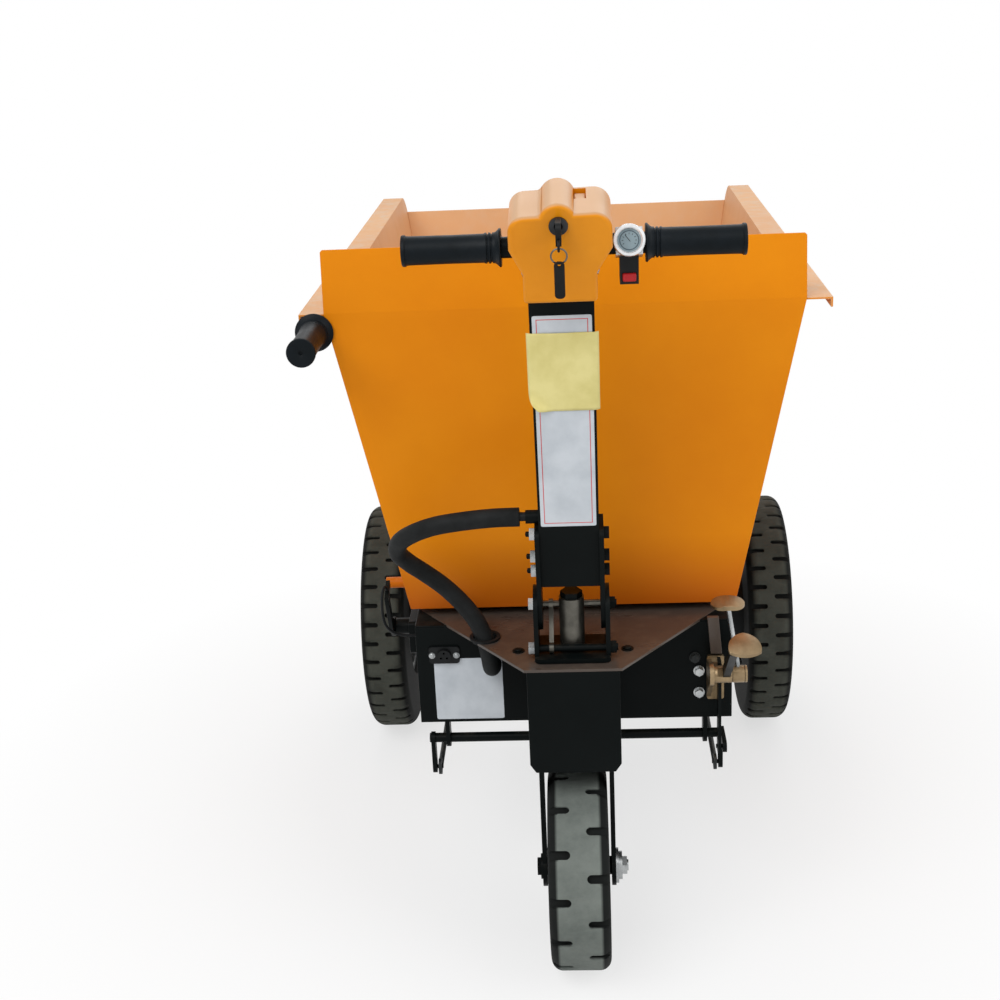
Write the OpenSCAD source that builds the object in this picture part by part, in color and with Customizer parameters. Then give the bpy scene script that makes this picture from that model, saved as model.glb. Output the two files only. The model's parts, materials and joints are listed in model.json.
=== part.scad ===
// Electric three-wheel concrete buggy: a walk-behind dumper with a tipping bucket.
// Millimetres. X is right as the operator sees it, Y is forward, Z is up.
// The origin is on the ground, in the middle of the outer sizes.

/* [Wheels] */
// Outer diameter of the steered front tyre
front_d = 288; // [270:1:300]
// Width of the steered front tyre
front_w = 84; // [74:1:86]
// Outer diameter of the load tyres
load_d = 414; // [390:1:430]
// Width of the load tyres
load_w = 78; // [72:1:84]
// Distance between the middles of the load tyres
track = 684; // [676:1:730]
// Distance from the front axle to the load axle
wheelbase = 758; // [740:1:770]
// Lateral slots on each side of the front tread
front_slots = 14; // [8:1:18]
// Lateral slots on each side of a load tread
load_slots = 38; // [20:1:42]
// Depth of the tread slots
tread_depth = 7; // [3:0.5:10]
// Diameter of the front axle bolt
axle_d = 16; // [12:1:20]

/* [Chassis] */
// Width of the battery box
box_w = 450; // [442:1:464]
// Height of the battery box
box_h = 151; // [145:1:170]
// Length of the battery box
box_l = 700; // [690:1:720]
// Sheet thickness of the box, lid and nose
sheet = 3; // [2:0.5:4]
// Thickness of the deck plate
deck_t = 4; // [3:0.5:6]
// Width of the nose box round the steering head
nose_w = 124; // [122:1:134]
// Length of the nose box in front of the battery box
nose_l = 152; // [145:1:165]
// Half width of the deck plate at its wide end
deck_half = 203; // [195:1:215]

/* [Bucket] */
// Width of the bucket at its floor
bucket_floor_w = 466; // [455:1:470]
// Width of the bucket between its top flanges
bucket_top_w = 648; // [620:1:660]
// Height of the bucket from floor to flange
bucket_h = 437; // [400:1:470]
// Length of the bucket floor
bucket_floor_l = 808; // [780:1:830]
// Length of the bucket at its top
bucket_top_l = 1060; // [1020:1:1090]
// Sheet thickness of the bucket
bucket_t = 3; // [2:0.5:4]
// Height of the guard above the flange at the rear
guard_h = 85; // [60:1:110]
// Width of the side flanges
flange_w = 35; // [30:1:42]
// Depth of the lip under the flange edge
lip_h = 14; // [8:1:18]
// Radius of the side plates at the front top corner
corner_r = 20; // [10:1:28]

/* [Steering] */
// Lean of the column towards the operator, in degrees
column_tilt = 12.6; // [8:0.1:15]
// Width of the column tube
column_w = 78; // [72:1:80]
// Depth of the column tube
column_d = 40; // [34:1:44]
// Height of the handlebar above the column pivot, along the column
bar_rise = 499; // [460:1:520]
// Diameter of the handlebar tube
bar_d = 25; // [22:0.5:27]
// Length of each grip
grip_l = 117; // [105:1:125]
// Diameter of each grip
grip_d = 34; // [31:0.5:38]
// Diameter of the steering stem
stem_d = 34; // [30:1:38]

/* [Brake] */
// Diameter of the brake cross shaft
shaft_d = 14; // [10:1:16]
// Length of the drop arms on the cross shaft
drop_l = 48; // [44:1:54]
// Diameter of the brake pull rods
rod_d = 8; // [6:0.5:10]

/* [Hidden] */
$fn = 64;
// Radial clearance of a running fit
run = 0.05;
// Face clearance between pieces that move past each other
face = 0.3;

// Places along and above the frame
load_y = 267;
load_z = load_d / 2;
front_y = load_y - wheelbase;
front_z = front_d / 2;
crown_t = 8;
crown_z = front_d + 24;
chassis_z = crown_z + crown_t + 10;
box_top = chassis_z + box_h;
deck_z = box_top + deck_t;
lid_z = box_top + sheet;
nose_y = front_y - 60;
box_y = nose_y + nose_l;
box_y1 = box_y + box_l;
deck_y1 = box_y + 32;

// Bucket places
bucket_z = deck_z + 10;
flange_z = bucket_z + bucket_h;
bucket_y = box_y + 35;
bucket_in_y = bucket_y + bucket_t;
floor_y1 = bucket_y + bucket_floor_l;
top_y1 = bucket_y + bucket_top_l;
side_run = (bucket_top_w - bucket_floor_w) / 2;
side_tx = bucket_t / cos(atan2(side_run, bucket_h));
front_a = atan2(bucket_h, top_y1 - floor_y1);
corner_t = corner_r / tan(front_a / 2);
front_top_z = flange_z - corner_t * sin(front_a);
hinge_y = box_y1 + 38;
hinge_z = chassis_z + 120;
hinge_pin_r = 8;
hinge_x = 160;
lug_t = 12;
lug_gap = 2;
ear_t = 6;
guard_lean = 8;

// Steering places
pivot_z = deck_z + 85;
stem_top = pivot_z - 5;
bearing_d = 52;
bearing_h = 15;
head_d = 64;
head_z = chassis_z + 15;
fork_gap = front_w / 2 + 4;
fork_t = 6;
fork_l = 40;
hub_half = fork_gap - 6;
strap_t = 6;
strap_w = 56;
cheek_t = 6;
column_z0 = 24;
column_z1 = bar_rise + 3;
cover_z = bar_rise - 51;
cover_front = -50;
cover_depth = 88;
cover_wall = 4;
bolt_r = 5;
left_grip_x = -68;
gauge_r = 18.5;
cover_half = 61;
gauge_x = cover_half + 1 + gauge_r;
right_grip_x = gauge_x + gauge_r + 1;
bar_x0 = left_grip_x - grip_l;
bar_x1 = right_grip_x + grip_l;
gauge_w = 31;
gauge_tilt = 30;
lock_z = cover_z + 96;
lock_r = 9;

// Load wheel places
wheel_x = track / 2;
rim_r = 98;
rim_half = load_w / 2 - 9;
half_shaft_r = 14;
disc_x = wheel_x - 20;
disc_t = 6;
drum_r = 76;
drum_in_r = 66;
drum_web = 10;
plate_x = disc_x - 56;
plate_t = 6;
shaft_x0 = plate_x - 40;
axle_r = 31;
cam_y = load_y - 50;
cam_r = 6;
stud_r = 5;
stud_pcr = 40;

// Brake places
shaft_y = box_y + 13;
shaft_z = chassis_z - 32;
rod_x = plate_x - 66;
rod_t = 4.5;
arm_x = rod_x + (rod_t + rod_d) / 2 + 0.75;
arm_t = 6;
hanger_t = 6;
rod_z = shaft_z - drop_l;
eye_pin_r = 3;
slot_play = 0.3;
slot_half = 6;
pedal_y = box_y - 52;
pedal_z = chassis_z + 94;
cheek_x = box_w / 2 - 37;
link_x = cheek_x + 14;
bell_x = link_x + (rod_t + rod_d) / 2 + 0.75;
hanger_x = link_x - 18;
pedal_pin_r = 8;
pedal_hub_r = 12;
link_arm = 24;
link_y = pedal_y + link_arm;
bell_l = shaft_y - link_y;

// Latch places
latch_y = bucket_y + 33;
latch_z = chassis_z + 124;
latch_pin_z = latch_z + 70;
latch_x = -box_w / 2 - 36;
hook_t = 6;
hook_open = 25;
hook_play = 2.5;
pin_r = 5;
striker_r = 8;

// Hose route from the column to the deck and into the box
hose_d = 25;
hole_r = hose_d / 2 + 6;
hose_hole = [-122, -446];
hose_in = [-116, 422];
HOSE = [[-64, -518, 690], [-100, -517, 689], [-140, -513, 684], [-176, -506, 676], [-206, -494, 662],
    [-228, -474, 642], [-234, -452, 618], [-222, -437, 597], [-200, -430, 577], [-176, -428, 556],
    [-153, -432, 533], [-134, -439, 509], [-122, -446, 483], [-117, -446, 457], [-116, -434, 436],
    [-116, -415, 425], [-116, -398, 422], [-116, -384, 422]];
// Pull cord of the latch, from the hook down to the box side
lanyard_d = 4;
LANYARD = [[-264, -378.2, 531.5], [-264.5, -382.6, 538.2], [-266, -391, 541], [-268, -399, 534],
    [-269, -402, 520], [-269, -401, 502], [-266, -396, 484], [-257, -388, 470], [-243, -381, 462],
    [-225, -378, 460]];

// Helpers

// A 2D shape in Y and Z, extruded along X from x0
module yz(x0, t) translate([x0, 0, 0]) rotate([90, 0, 90]) linear_extrude(t) children();
// A 2D shape in X and Z, extruded along Y from y0
module xz(y0, t) translate([0, y0 + t, 0]) rotate([90, 0, 0]) linear_extrude(t) children();
// A rod along X from x0 to x1
module xrod(x0, x1, r, y, z) translate([x0, y, z]) rotate([0, 90, 0]) cylinder(h = x1 - x0, r = r);
// A rod along Y from y0 to y1
module yrod(y0, y1, r, x, z) translate([x, y0, z]) rotate([-90, 0, 0]) cylinder(h = y1 - y0, r = r);
// A solid of revolution about X, from a profile drawn as radius and X
module xrev(x, y, z) translate([x, y, z]) rotate([0, 90, 0]) rotate_extrude($fn = 96) children();
// The same about Y
module yrev(x, y, z) translate([x, y, z]) rotate([-90, 0, 0]) rotate_extrude() children();
// Pieces on the left and right alike
module pair() {
    children();
    mirror([1, 0, 0]) children();
}
// The frame of the leaning column
module on_column() translate([0, front_y, pivot_z]) rotate([column_tilt, 0, 0]) children();
// A ring profile for a revolve
module ring(r0, r1, z0, z1) translate([r0, z0]) square([r1 - r0, z1 - z0]);
// A slot of half lengths a and b
module slot(a, b) {
    if (a > b) {
        square([2 * (a - b), 2 * b], center = true);
        for (s = [-1, 1]) translate([s * (a - b), 0]) circle(b);
    } else {
        square([2 * a, 2 * (b - a)], center = true);
        for (s = [-1, 1]) translate([0, s * (b - a)]) circle(a);
    }
}
// A rectangle with round corners
module round_rect(w, h, r) {
    square([w - 2 * r, h], center = true);
    square([w, h - 2 * r], center = true);
    for (sx = [-1, 1], sy = [-1, 1]) translate([sx * (w / 2 - r), sy * (h / 2 - r)]) circle(r);
}

// A tube swept along hand-set points, smoothed, as one closed polyhedron
function unit(v) = v / norm(v);
function ease(p, i, t) = let (
    a = p[max(i - 1, 0)], b = p[i], c = p[i + 1], d = p[min(i + 2, len(p) - 1)])
    0.5 * (2 * b + (c - a) * t + (2 * a - 5 * b + 4 * c - d) * t * t + (3 * b - 3 * c + d - a) * t * t * t);
function route(p, n) = concat([for (i = [0 : len(p) - 2], k = [0 : n - 1]) ease(p, i, k / n)], [p[len(p) - 1]]);
function tangents(q) = [for (i = [0 : len(q) - 1]) unit(q[min(i + 1, len(q) - 1)] - q[max(i - 1, 0)])];
function carry(n, t) = unit(n - (n * t) * t);
function normals(t, n0) = [for (i = 0, n = carry(n0, t[0]); i < len(t);
    i = i + 1, n = i < len(t) ? carry(n, t[i]) : n) n];
module tube(p, d, n, sides, n0) {
    q = route(p, n);
    t = tangents(q);
    u = normals(t, n0);
    pts = [for (i = [0 : len(q) - 1], k = [0 : sides - 1])
        let (a = 360 * k / sides) q[i] + d / 2 * (cos(a) * u[i] + sin(a) * cross(t[i], u[i]))];
    last = (len(q) - 1) * sides;
    walls = [for (i = [0 : len(q) - 2], k = [0 : sides - 1], h = [0, 1])
        let (a = i * sides + k, b = i * sides + (k + 1) % sides)
        h == 0 ? [a, a + sides, b + sides] : [a, b + sides, b]];
    ends = concat([for (k = [1 : sides - 2]) [0, k, k + 1]],
        [for (k = [1 : sides - 2]) [last, last + k + 1, last + k]]);
    polyhedron(pts, concat(walls, ends));
}

// Chassis

// Folded battery box, open at the top, with the hose hole and the charge socket hole
module chassis_box() color("#161a1a") difference() {
    union() {
        translate([-box_w / 2, box_y, chassis_z]) cube([box_w, box_l, box_h]);
        xz(box_y - 8, 9) polygon([[cheek_x + 1, box_top + 9], [cheek_x + 17, box_top + 9],
            [cheek_x + 22, pedal_z + 10], [cheek_x + 6, pedal_z + 10]]);
    }
    translate([-box_w / 2 + sheet, box_y + sheet, chassis_z + sheet])
        cube([box_w - 2 * sheet, box_l - 2 * sheet, box_h]);
    translate([-box_w / 2, box_y, box_top]) cube([box_w, box_l, 20]);
    yrod(box_y - 1, box_y + sheet + 1, hose_d / 2 + 0.5, hose_in[0], hose_in[1]);
    yrod(box_y - 1, box_y + sheet + 1, socket_r + 0.5, socket_x, socket_z);
}
socket_x = -box_w / 2 + 40;
socket_z = box_top - 42;
socket_r = 10;

module deck_shape() polygon([[-nose_w / 2 - 3, nose_y], [nose_w / 2 + 3, nose_y],
    [deck_half, deck_y1], [-deck_half, deck_y1]]);

// Lid over the batteries, cut to the edge of the deck plate
module box_lid() color("#1b2020") translate([0, 0, box_top]) linear_extrude(sheet) difference() {
    translate([-box_w / 2, box_y]) square([box_w, box_l]);
    deck_shape();
}

// Trapezoid deck plate over the nose, with the bearing hole and the hose hole
module deck_plate() color("#2a2422") translate([0, 0, box_top]) linear_extrude(deck_t) difference() {
    deck_shape();
    translate([0, front_y]) circle(bearing_d / 2 + 1);
    translate(hose_hole) circle(hole_r);
    for (s = [-1, 1]) translate([s * deck_bolt_x, front_y]) circle(bolt_r + 0.5);
}
deck_bolt_x = 74;

// Nose box: front plate with cut lower corners and two side plates
module nose_box() color("#141818") {
    xz(nose_y, sheet) polygon([[-nose_w / 2, box_top], [nose_w / 2, box_top],
        [nose_w / 2, chassis_z + 12], [nose_w / 2 - 8, chassis_z],
        [-nose_w / 2 + 8, chassis_z], [-nose_w / 2, chassis_z + 12]]);
    pair() translate([nose_w / 2 - sheet, nose_y, chassis_z + 12])
        cube([sheet, nose_l, box_h - 12]);
}

// Head tube with side webs welded into the nose
module head_tube() color("#20262a") difference() {
    union() {
        translate([0, front_y, head_z]) cylinder(h = box_top - head_z, d = head_d);
        translate([-nose_w / 2 + sheet, front_y - 4, head_z + 20])
            cube([nose_w - 2 * sheet, 8, box_top - head_z - 20]);
    }
    translate([0, front_y, head_z - 1]) cylinder(h = box_h, d = bearing_d - 8);
    translate([0, front_y, head_z - 1]) cylinder(h = bearing_h + 1, d = bearing_d + 2 * run);
    translate([0, front_y, box_top - bearing_h]) cylinder(h = bearing_h + 1, d = bearing_d + 2 * run);
}

// Two steering bearings, pressed into the head tube
module steering_bearings() color("#8a9095") difference() {
    for (z = [head_z, box_top - bearing_h])
        translate([0, front_y, z]) cylinder(h = z > head_z ? bearing_h + deck_t + 1 : bearing_h, d = bearing_d);
    translate([0, front_y, 0]) cylinder(h = deck_z + 10, d = stem_d + 2 * run);
}

// Drive axle: tubes, gear casing, motor flange and the legs that carry the box
module axle_housing() color("#22282a") difference() {
    union() {
        xrod(-plate_x, plate_x, axle_r, load_y, load_z);
        xrod(-45, 45, casing_r, load_y, load_z);
        pair() translate([45, load_y, load_z]) rotate([0, 90, 0]) cylinder(h = 40, r1 = casing_r, r2 = axle_r);
        pair() xrod(plate_x - 6, plate_x, 42, load_y, load_z);
        yrod(load_y - casing_l, load_y, motor_r - 2, 0, load_z);
        pair() for (x = [leg_x, leg_x + 33]) yz(x, leg_t) polygon([[load_y - 50, chassis_z], [load_y + 30, chassis_z],
            [load_y + 26, load_z], [load_y - 26, load_z]]);
        pair() translate([leg_x - 5, load_y - 58, chassis_z - leg_t]) cube([50, 90, leg_t]);
    }
    pair() xrod(shaft_x0, plate_x + 1, half_shaft_r + run, load_y, load_z);
}

leg_x = plate_x - 111;
leg_t = 6;
casing_r = 72;
casing_l = 83;

// Drive motor bolted to the gear casing, with an end cap and cooling rings
motor_r = 60;
motor_l = 140;
motor_cap = 8;
module drive_motor() color("#3a4044") {
    y0 = load_y - casing_l - motor_l;
    yrod(y0, load_y - casing_l, motor_r, 0, load_z);
    yrod(y0 - motor_cap, y0, motor_r - 12, 0, load_z);
    yrev(0, y0 + 33, load_z) for (k = [0 : 5]) translate([0, k * 15]) ring(motor_r - 2, motor_r + 4, 0, 5);
}

// Four sealed batteries on the box floor
battery = [181, 167, 77];
module battery_pack() color("#2c3138") for (i = [0, 1], j = [0, 1])
    translate([i == 0 ? -battery[0] - 2 : 2, box_y1 - 440 + j * (battery[1] + 3), chassis_z + sheet]) {
        cube(battery);
        for (x = [30, battery[0] - 30]) translate([x, 22, battery[2]]) cylinder(h = 9, r = 7);
    }

// Motor controller with its cooling fins
controller = [150, 100, 42];
module motor_controller() color("#9aa0a4") translate([-controller[0] / 2, box_y + 25, chassis_z + sheet]) {
    cube(controller);
    for (k = [0 : 9]) translate([2 + k * 15.5, 0, controller[2]]) cube([5, controller[1], 16]);
}

// Charge socket: flange on the box face and barrel through it
module charge_socket() color("#101314") difference() {
    union() {
        xz(box_y - 4, 4) translate([socket_x, socket_z]) round_rect(44, 26, 5);
        yrod(box_y - 9, box_y + 22, socket_r, socket_x, socket_z);
    }
    for (a = [90, 210, 330])
        yrod(box_y - 10, box_y + 8, 1.6, socket_x + 5 * cos(a), socket_z + 5 * sin(a));
}

// Hangers of the brake cross shaft, under the box
module shaft_hangers() color("#15191a") pair() yz(hanger_x, hanger_t) difference() {
    union() {
        translate([shaft_y - 11, shaft_z]) square([22, chassis_z - shaft_z]);
        translate([shaft_y, shaft_z]) circle(13);
    }
    translate([shaft_y, shaft_z]) circle(shaft_d / 2 + run);
}

// Pedal bracket: base on the box face, cheek, the pivot pin for both pedals, and three bolts beside it
base_w = 24;
base_h = 68;
module pedal_bracket() color("#8d7138") {
    z0 = pedal_z + 6 - base_h;
    xz(box_y - 6, 6) translate([cheek_x + 1 + base_w / 2, z0 + base_h / 2]) round_rect(base_w, base_h, 3);
    yz(cheek_x, 6) {
        polygon([[box_y - 6, z0 + 4], [box_y - 6, z0 + base_h - 4], [pedal_y, pedal_z + 16],
            [pedal_y, pedal_z - 16]]);
        translate([pedal_y, pedal_z]) circle(16);
    }
    xrod(cheek_x, cheek_x + 52, pedal_pin_r, pedal_y, pedal_z);
    xrod(cheek_x + 49, cheek_x + 52, pedal_hub_r, pedal_y, pedal_z);
    for (q = [[-10, pedal_z - 19], [-10, pedal_z - 53], [-16, pedal_z + 2]]) {
        yrod(box_y - 2, box_y, 8, cheek_x + q[0], q[1]);
        translate([cheek_x + q[0], box_y - 8, q[1]]) rotate([-90, 30, 0]) cylinder(h = 6.5, r = 6.5, $fn = 6);
    }
}

// Latch bracket on the left of the box, with the hook's pivot pin
module latch_bracket() color("#15191a") {
    yz(latch_x + 22, -latch_x - 22 - box_w / 2) translate([latch_y, latch_z - 8]) round_rect(56, 50, 6);
    xrod(latch_x + face, latch_x + 22, 12, latch_y, latch_z);
    xrod(latch_x - hook_t - 4, latch_x + face, pin_r, latch_y, latch_z);
    xrod(latch_x - hook_t - 4, latch_x - hook_t - face, 9, latch_y, latch_z);
}

// Chassis half of the bucket hinges: clevis plates and pins
module bucket_hinges() color("#1b2022") pair() {
    difference() {
        for (x = [hinge_x - lug_t / 2 - lug_gap - ear_t, hinge_x + lug_t / 2 + lug_gap]) yz(x, ear_t) {
            polygon([[box_y1, hinge_z - 60], [box_y1, hinge_z + 22], [hinge_y, hinge_z + 18],
                [hinge_y + 12, hinge_z - 13]]);
            translate([hinge_y, hinge_z]) circle(18);
        }
        xrod(hinge_x - 40, hinge_x + 40, hinge_pin_r + run, hinge_y, hinge_z);
    }
    xrod(hinge_x - 24, hinge_x + 18, hinge_pin_r, hinge_y, hinge_z);
    xrod(hinge_x - 24, hinge_x - lug_t / 2 - lug_gap - ear_t, 13, hinge_y, hinge_z);
}

// Rubber pads that the bucket floor rests on
module rest_pads() color("#0d0f10") pair()
    translate([150, bucket_y + 60, lid_z]) cube([50, 60, bucket_z - lid_z - face]);

// Brake backing plates on the axle ends, each with two shoes
module drum_brakes() color("#3b4144") pair() {
    difference() {
        xrod(plate_x, plate_x + plate_t, drum_in_r - 2, load_y, load_z);
        xrod(plate_x - 1, plate_x + plate_t + 1, half_shaft_r + 1, load_y, load_z);
        xrod(plate_x - 1, plate_x + plate_t + 1, cam_r + run, cam_y, load_z);
    }
    yz(plate_x + plate_t, 30) difference() {
        translate([load_y, load_z]) circle(drum_in_r - 0.5);
        translate([load_y, load_z]) circle(drum_in_r - 8);
        translate([load_y - drum_r, load_z - 14]) square([2 * drum_r, 28]);
    }
}

// Edge grommet of the hose hole in the deck, wide enough for the slanting hose
module hose_grommet() color("#0b0d0e") translate([hose_hole[0], hose_hole[1], box_top])
    rotate_extrude() {
        ring(hole_r - 2, hole_r - run, 0, deck_t);
        ring(hole_r - 2, hole_r + 3, deck_t, deck_t + 3);
    }

// Conduit hose that carries the control wires from the column into the box
module conduit_hose() color("#0f1112") tube(HOSE, hose_d, 3, 10, [0, 0, 1]);

// Thin pull cord of the bucket latch
module latch_lanyard() color("#0f1112") tube(LANYARD, lanyard_d, 2, 8, [0, 1, 0]);

// Steering

// Fork: crown, two legs and the stem
module fork() color("#15191b") difference() {
    union() {
        translate([-fork_gap - fork_t, front_y - fork_l / 2, crown_z])
            cube([2 * (fork_gap + fork_t), fork_l, crown_t]);
        translate([0, front_y, crown_z]) cylinder(h = head_z - face - crown_z, d = bearing_d - 6);
        translate([0, front_y, crown_z]) cylinder(h = stem_top - crown_z, d = stem_d);
        pair() {
            yz(fork_gap, fork_t) {
                translate([front_y - fork_l / 2, front_z]) square([fork_l, crown_z - front_z]);
                translate([front_y, front_z]) circle(28);
            }
            xrod(hub_half + face, fork_gap + 1, 13, front_y, front_z);
        }
    }
    xrod(-fork_gap - 20, fork_gap + 20, axle_d / 2 + run, front_y, front_z);
    translate([0, front_y, head_z]) cylinder(h = stem_top, d = stem_d - 8);
}

// Front axle bolt with a washer on each side and its nut
module front_axle() color("#9aa0a2") {
    x = fork_gap + fork_t;
    xrod(-x - 5, x + 18, axle_d / 2, front_y, front_z);
    translate([-x - 8, front_y, front_z]) rotate([0, 90, 0]) cylinder(h = 5.5, r = 14, $fn = 6);
    difference() {
        union() {
            xrod(-x - 3, -x, 18, front_y, front_z);
            xrod(x, x + 4, 25, front_y, front_z);
            xrod(x + 4, x + 9, 20, front_y, front_z);
            translate([x + 9, front_y, front_z]) rotate([0, 90, 0]) cylinder(h = 7, r = 14, $fn = 6);
        }
        xrod(-x - 2.9, x + 30, axle_d / 2 + run, front_y, front_z);
    }
}

// U bracket welded on the stem, which takes the two straps
module stem_bracket() color("#15191b") difference() {
    union() {
        translate([0, front_y - 5, deck_z + 1 + face]) linear_extrude(cheek_t)
            round_rect(column_w + 2 * (strap_t + cheek_t), 78, 9);
        pair() yz(column_w / 2 + strap_t, cheek_t) {
            translate([front_y - 34, deck_z + 1 + face]) square([68, 60]);
            translate([front_y, deck_z + 1 + face + 60]) circle(34);
        }
    }
    translate([0, front_y, deck_z]) cylinder(h = 20, d = stem_d + 2 * run);
    for (q = through) xrod(-100, 100, bolt_r + run, front_y + q[0], deck_z + q[1]);
}
// Through bolts of the bracket: Y from the stem and height over the deck
through = [[23, 59], [-24, 15]];
// Heights of the strap bolts on the column, and their place across the strap
strap_bolts = [43, 66, 101];
strap_bolt_y = -8;
// Upper end of the straps, just under the nipple of the hose
strap_top = 112;

// Flat straps on both sides of the column, bolted to the U bracket
module column_straps() color("#181c1e") pair() difference() {
    on_column() translate([column_w / 2, 0, 0]) yz(0, strap_t) {
        translate([-strap_w / 2, -26]) square([strap_w, strap_top]);
        translate([0, -26]) circle(strap_w / 2);
        translate([0, strap_top - 20]) round_rect(strap_w, 40, 12);
    }
    xrod(0, 100, bolt_r + run, front_y + through[0][0], deck_z + through[0][1]);
    on_column() for (z = strap_bolts) xrod(0, 100, bolt_r + run, strap_bolt_y, z);
}

// Column: rectangular tube with bolt holes, the handlebar seat and the nipple for the hose
module column() color("#16191b") difference() {
    union() {
        on_column() difference() {
            translate([-column_w / 2, -column_d / 2, column_z0]) cube([column_w, column_d, column_z1 - column_z0]);
            translate([-column_w / 2 + sheet, -column_d / 2 + sheet, column_z0 - 1])
                cube([column_w - 2 * sheet, column_d - 2 * sheet, column_z1 - column_z0 - 30]);
        }
        xrod(-column_w / 2 - 17, -column_w / 2 + 1, 9, HOSE[0][1], HOSE[0][2]);
    }
    on_column() for (z = strap_bolts) xrod(-100, 100, bolt_r + run, strap_bolt_y, z);
    on_column() xrod(-100, 100, bar_d / 2 + run, 0, bar_rise);
    xrod(-100, -column_w / 2 + 8, 6, HOSE[0][1], HOSE[0][2]);
}

// Stay beside the stem: its place across and its bar
stay_x = -28;
stay_w = 7;
stay_t = 6;
// The lower eye clears the base of the bracket
stay_eye = through[1][1] - cheek_t - 1 - 2 * face;
module stay() {
    run_y = through[1][0] - through[0][0];
    run_z = through[1][1] - through[0][1];
    translate([stay_x - stay_t / 2, front_y, deck_z]) yz(0, stay_t) difference() {
        union() {
            translate(through[0]) rotate(atan2(run_z, run_y)) translate([0, -stay_w / 2])
                square([norm([run_y, run_z]), stay_w]);
            for (q = through) translate(q) circle(stay_eye);
        }
        for (q = through) translate(q) circle(bolt_r + run);
    }
}

// Bolts of the column and straps, the stay on the two long ones, and the nut on the stem
module steering_bolts() color("#b4b8b8") {
    x = column_w / 2 + strap_t;
    stay();
    on_column() pair() for (z = strap_bolts) translate([0, strap_bolt_y, z]) {
        xrod(column_w / 2 - sheet, x + 1, bolt_r, 0, 0);
        translate([x, 0, 0]) rotate([0, 90, 0]) cylinder(h = 7, r = 9, $fn = 6);
    }
    for (q = through) translate([0, front_y + q[0], deck_z + q[1]]) {
        xrod(-x - cheek_t - 1, x + cheek_t + 10, bolt_r, 0, 0);
        pair() translate([x + cheek_t, 0, 0]) rotate([0, 90, 0]) cylinder(h = 8, r = 9, $fn = 6);
    }
    translate([0, front_y, stem_top]) cylinder(h = 8, r = 15, $fn = 6);
}

// Moulded head cover with three lobes, hollow where the column and handlebar pass
module cover_shape() {
    neck = column_w / 2 + cover_wall;
    polygon([[-neck, 0], [neck, 0], [neck, 36], [cover_half, 66], [cover_half, 88.5], [cover_half - 20.5, 109], [-39.5, 106.5],
        [3 - cover_half, 88], [3 - cover_half, 66], [-neck, 36]]);
    translate([-39.5, 88]) circle(18.5);
    translate([-1, 100]) circle(21);
    translate([cover_half - 20.5, 88.5]) circle(20.5);
}
module head_cover() color("#de8c20") on_column() difference() {
    translate([0, 0, cover_z]) xz(cover_front, cover_depth) cover_shape();
    translate([-column_w / 2 - face, -column_d / 2 - face, cover_z - 1])
        cube([column_w + 2 * face, column_d + 2 * face, column_z1 + face - cover_z + 1]);
    xrod(-100, 100, bar_d / 2 + face, 0, bar_rise);
    yrod(cover_front - 1, cover_front + 22, lock_r + run, 0, lock_z);
    translate([selector[0] - selector[3] / 2 - face, selector[1] - selector[4] / 2 - 5, selector[2] - face])
        cube([selector[3] + 2 * face, selector[4] + 10, 40]);
}
// Selector switch: X, Y, height on the column, width, length and height of the block
selector = [25, 14, cover_z + 86, 14, 22, 19];

// Handlebar tube through the column
module handlebar() color("#1a1d1f") on_column() difference() {
    xrod(bar_x0 + 4, bar_x1 - 4, bar_d / 2, 0, bar_rise);
    xrod(bar_x0, bar_x0 + 120, bar_d / 2 - 3, 0, bar_rise);
    xrod(bar_x1 - 120, bar_x1, bar_d / 2 - 3, 0, bar_rise);
}

// Grip profile from the inner flange to the closed outer end
module grip_profile(bore, length, d) difference() {
    union() {
        ring(0, d / 2, 0, length);
        ring(0, d / 2 + 6, 0, 4);
        ring(0, d / 2 + 1.5, length - 9, length);
        for (k = [0 : 7]) ring(0, d / 2 + 0.8, 14 + k * (length - 34) / 8, 14 + (k + 0.55) * (length - 34) / 8);
    }
    ring(-1, bore / 2 + run, -1, length - 4);
}
module left_grip() color("#101214") on_column() mirror([1, 0, 0])
    xrev(-left_grip_x, 0, bar_rise) grip_profile(bar_d, grip_l, grip_d);

// Throttle grip, which turns on the handlebar
module throttle_grip() color("#101214") on_column()
    xrev(right_grip_x, 0, bar_rise) grip_profile(bar_d, grip_l, grip_d);

// Gauge and switch body clamped on the handlebar
module gauge_body() color("#a9adb0") on_column() difference() {
    translate([gauge_x, 0, bar_rise]) union() {
        xrod(-gauge_w / 2, gauge_w / 2, bar_d / 2 + 4, 0, 0);
        rotate([-gauge_tilt, 0, 0]) {
            translate([-gauge_w / 2, -22, -16]) cube([gauge_w, 22, 32]);
            yrev(0, -29, 0) difference() {
                ring(0, gauge_r, 0, 8);
                ring(-1, gauge_r - 4.5, -1, 4);
            }
        }
        translate([-11, -18, -44]) cube([22, 26, 44]);
    }
    xrod(gauge_x - 40, gauge_x + 40, bar_d / 2 + run, 0, bar_rise);
    translate([gauge_x - 8 - face, -19, bar_rise - 40 - face]) cube([16 + 2 * face, 10, 10 + 2 * face]);
}

// Red push button in the switch body
module red_button() color("#c01818") on_column() translate([gauge_x - 8, -21, bar_rise - 40]) cube([16, 8, 10]);

// Selector switch that slides in the top of the head cover
module selector_switch() color("#d98a22") on_column()
    translate([selector[0] - selector[3] / 2, selector[1] - selector[4] / 2, selector[2]])
        cube([selector[3], selector[4], selector[5]]);

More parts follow.
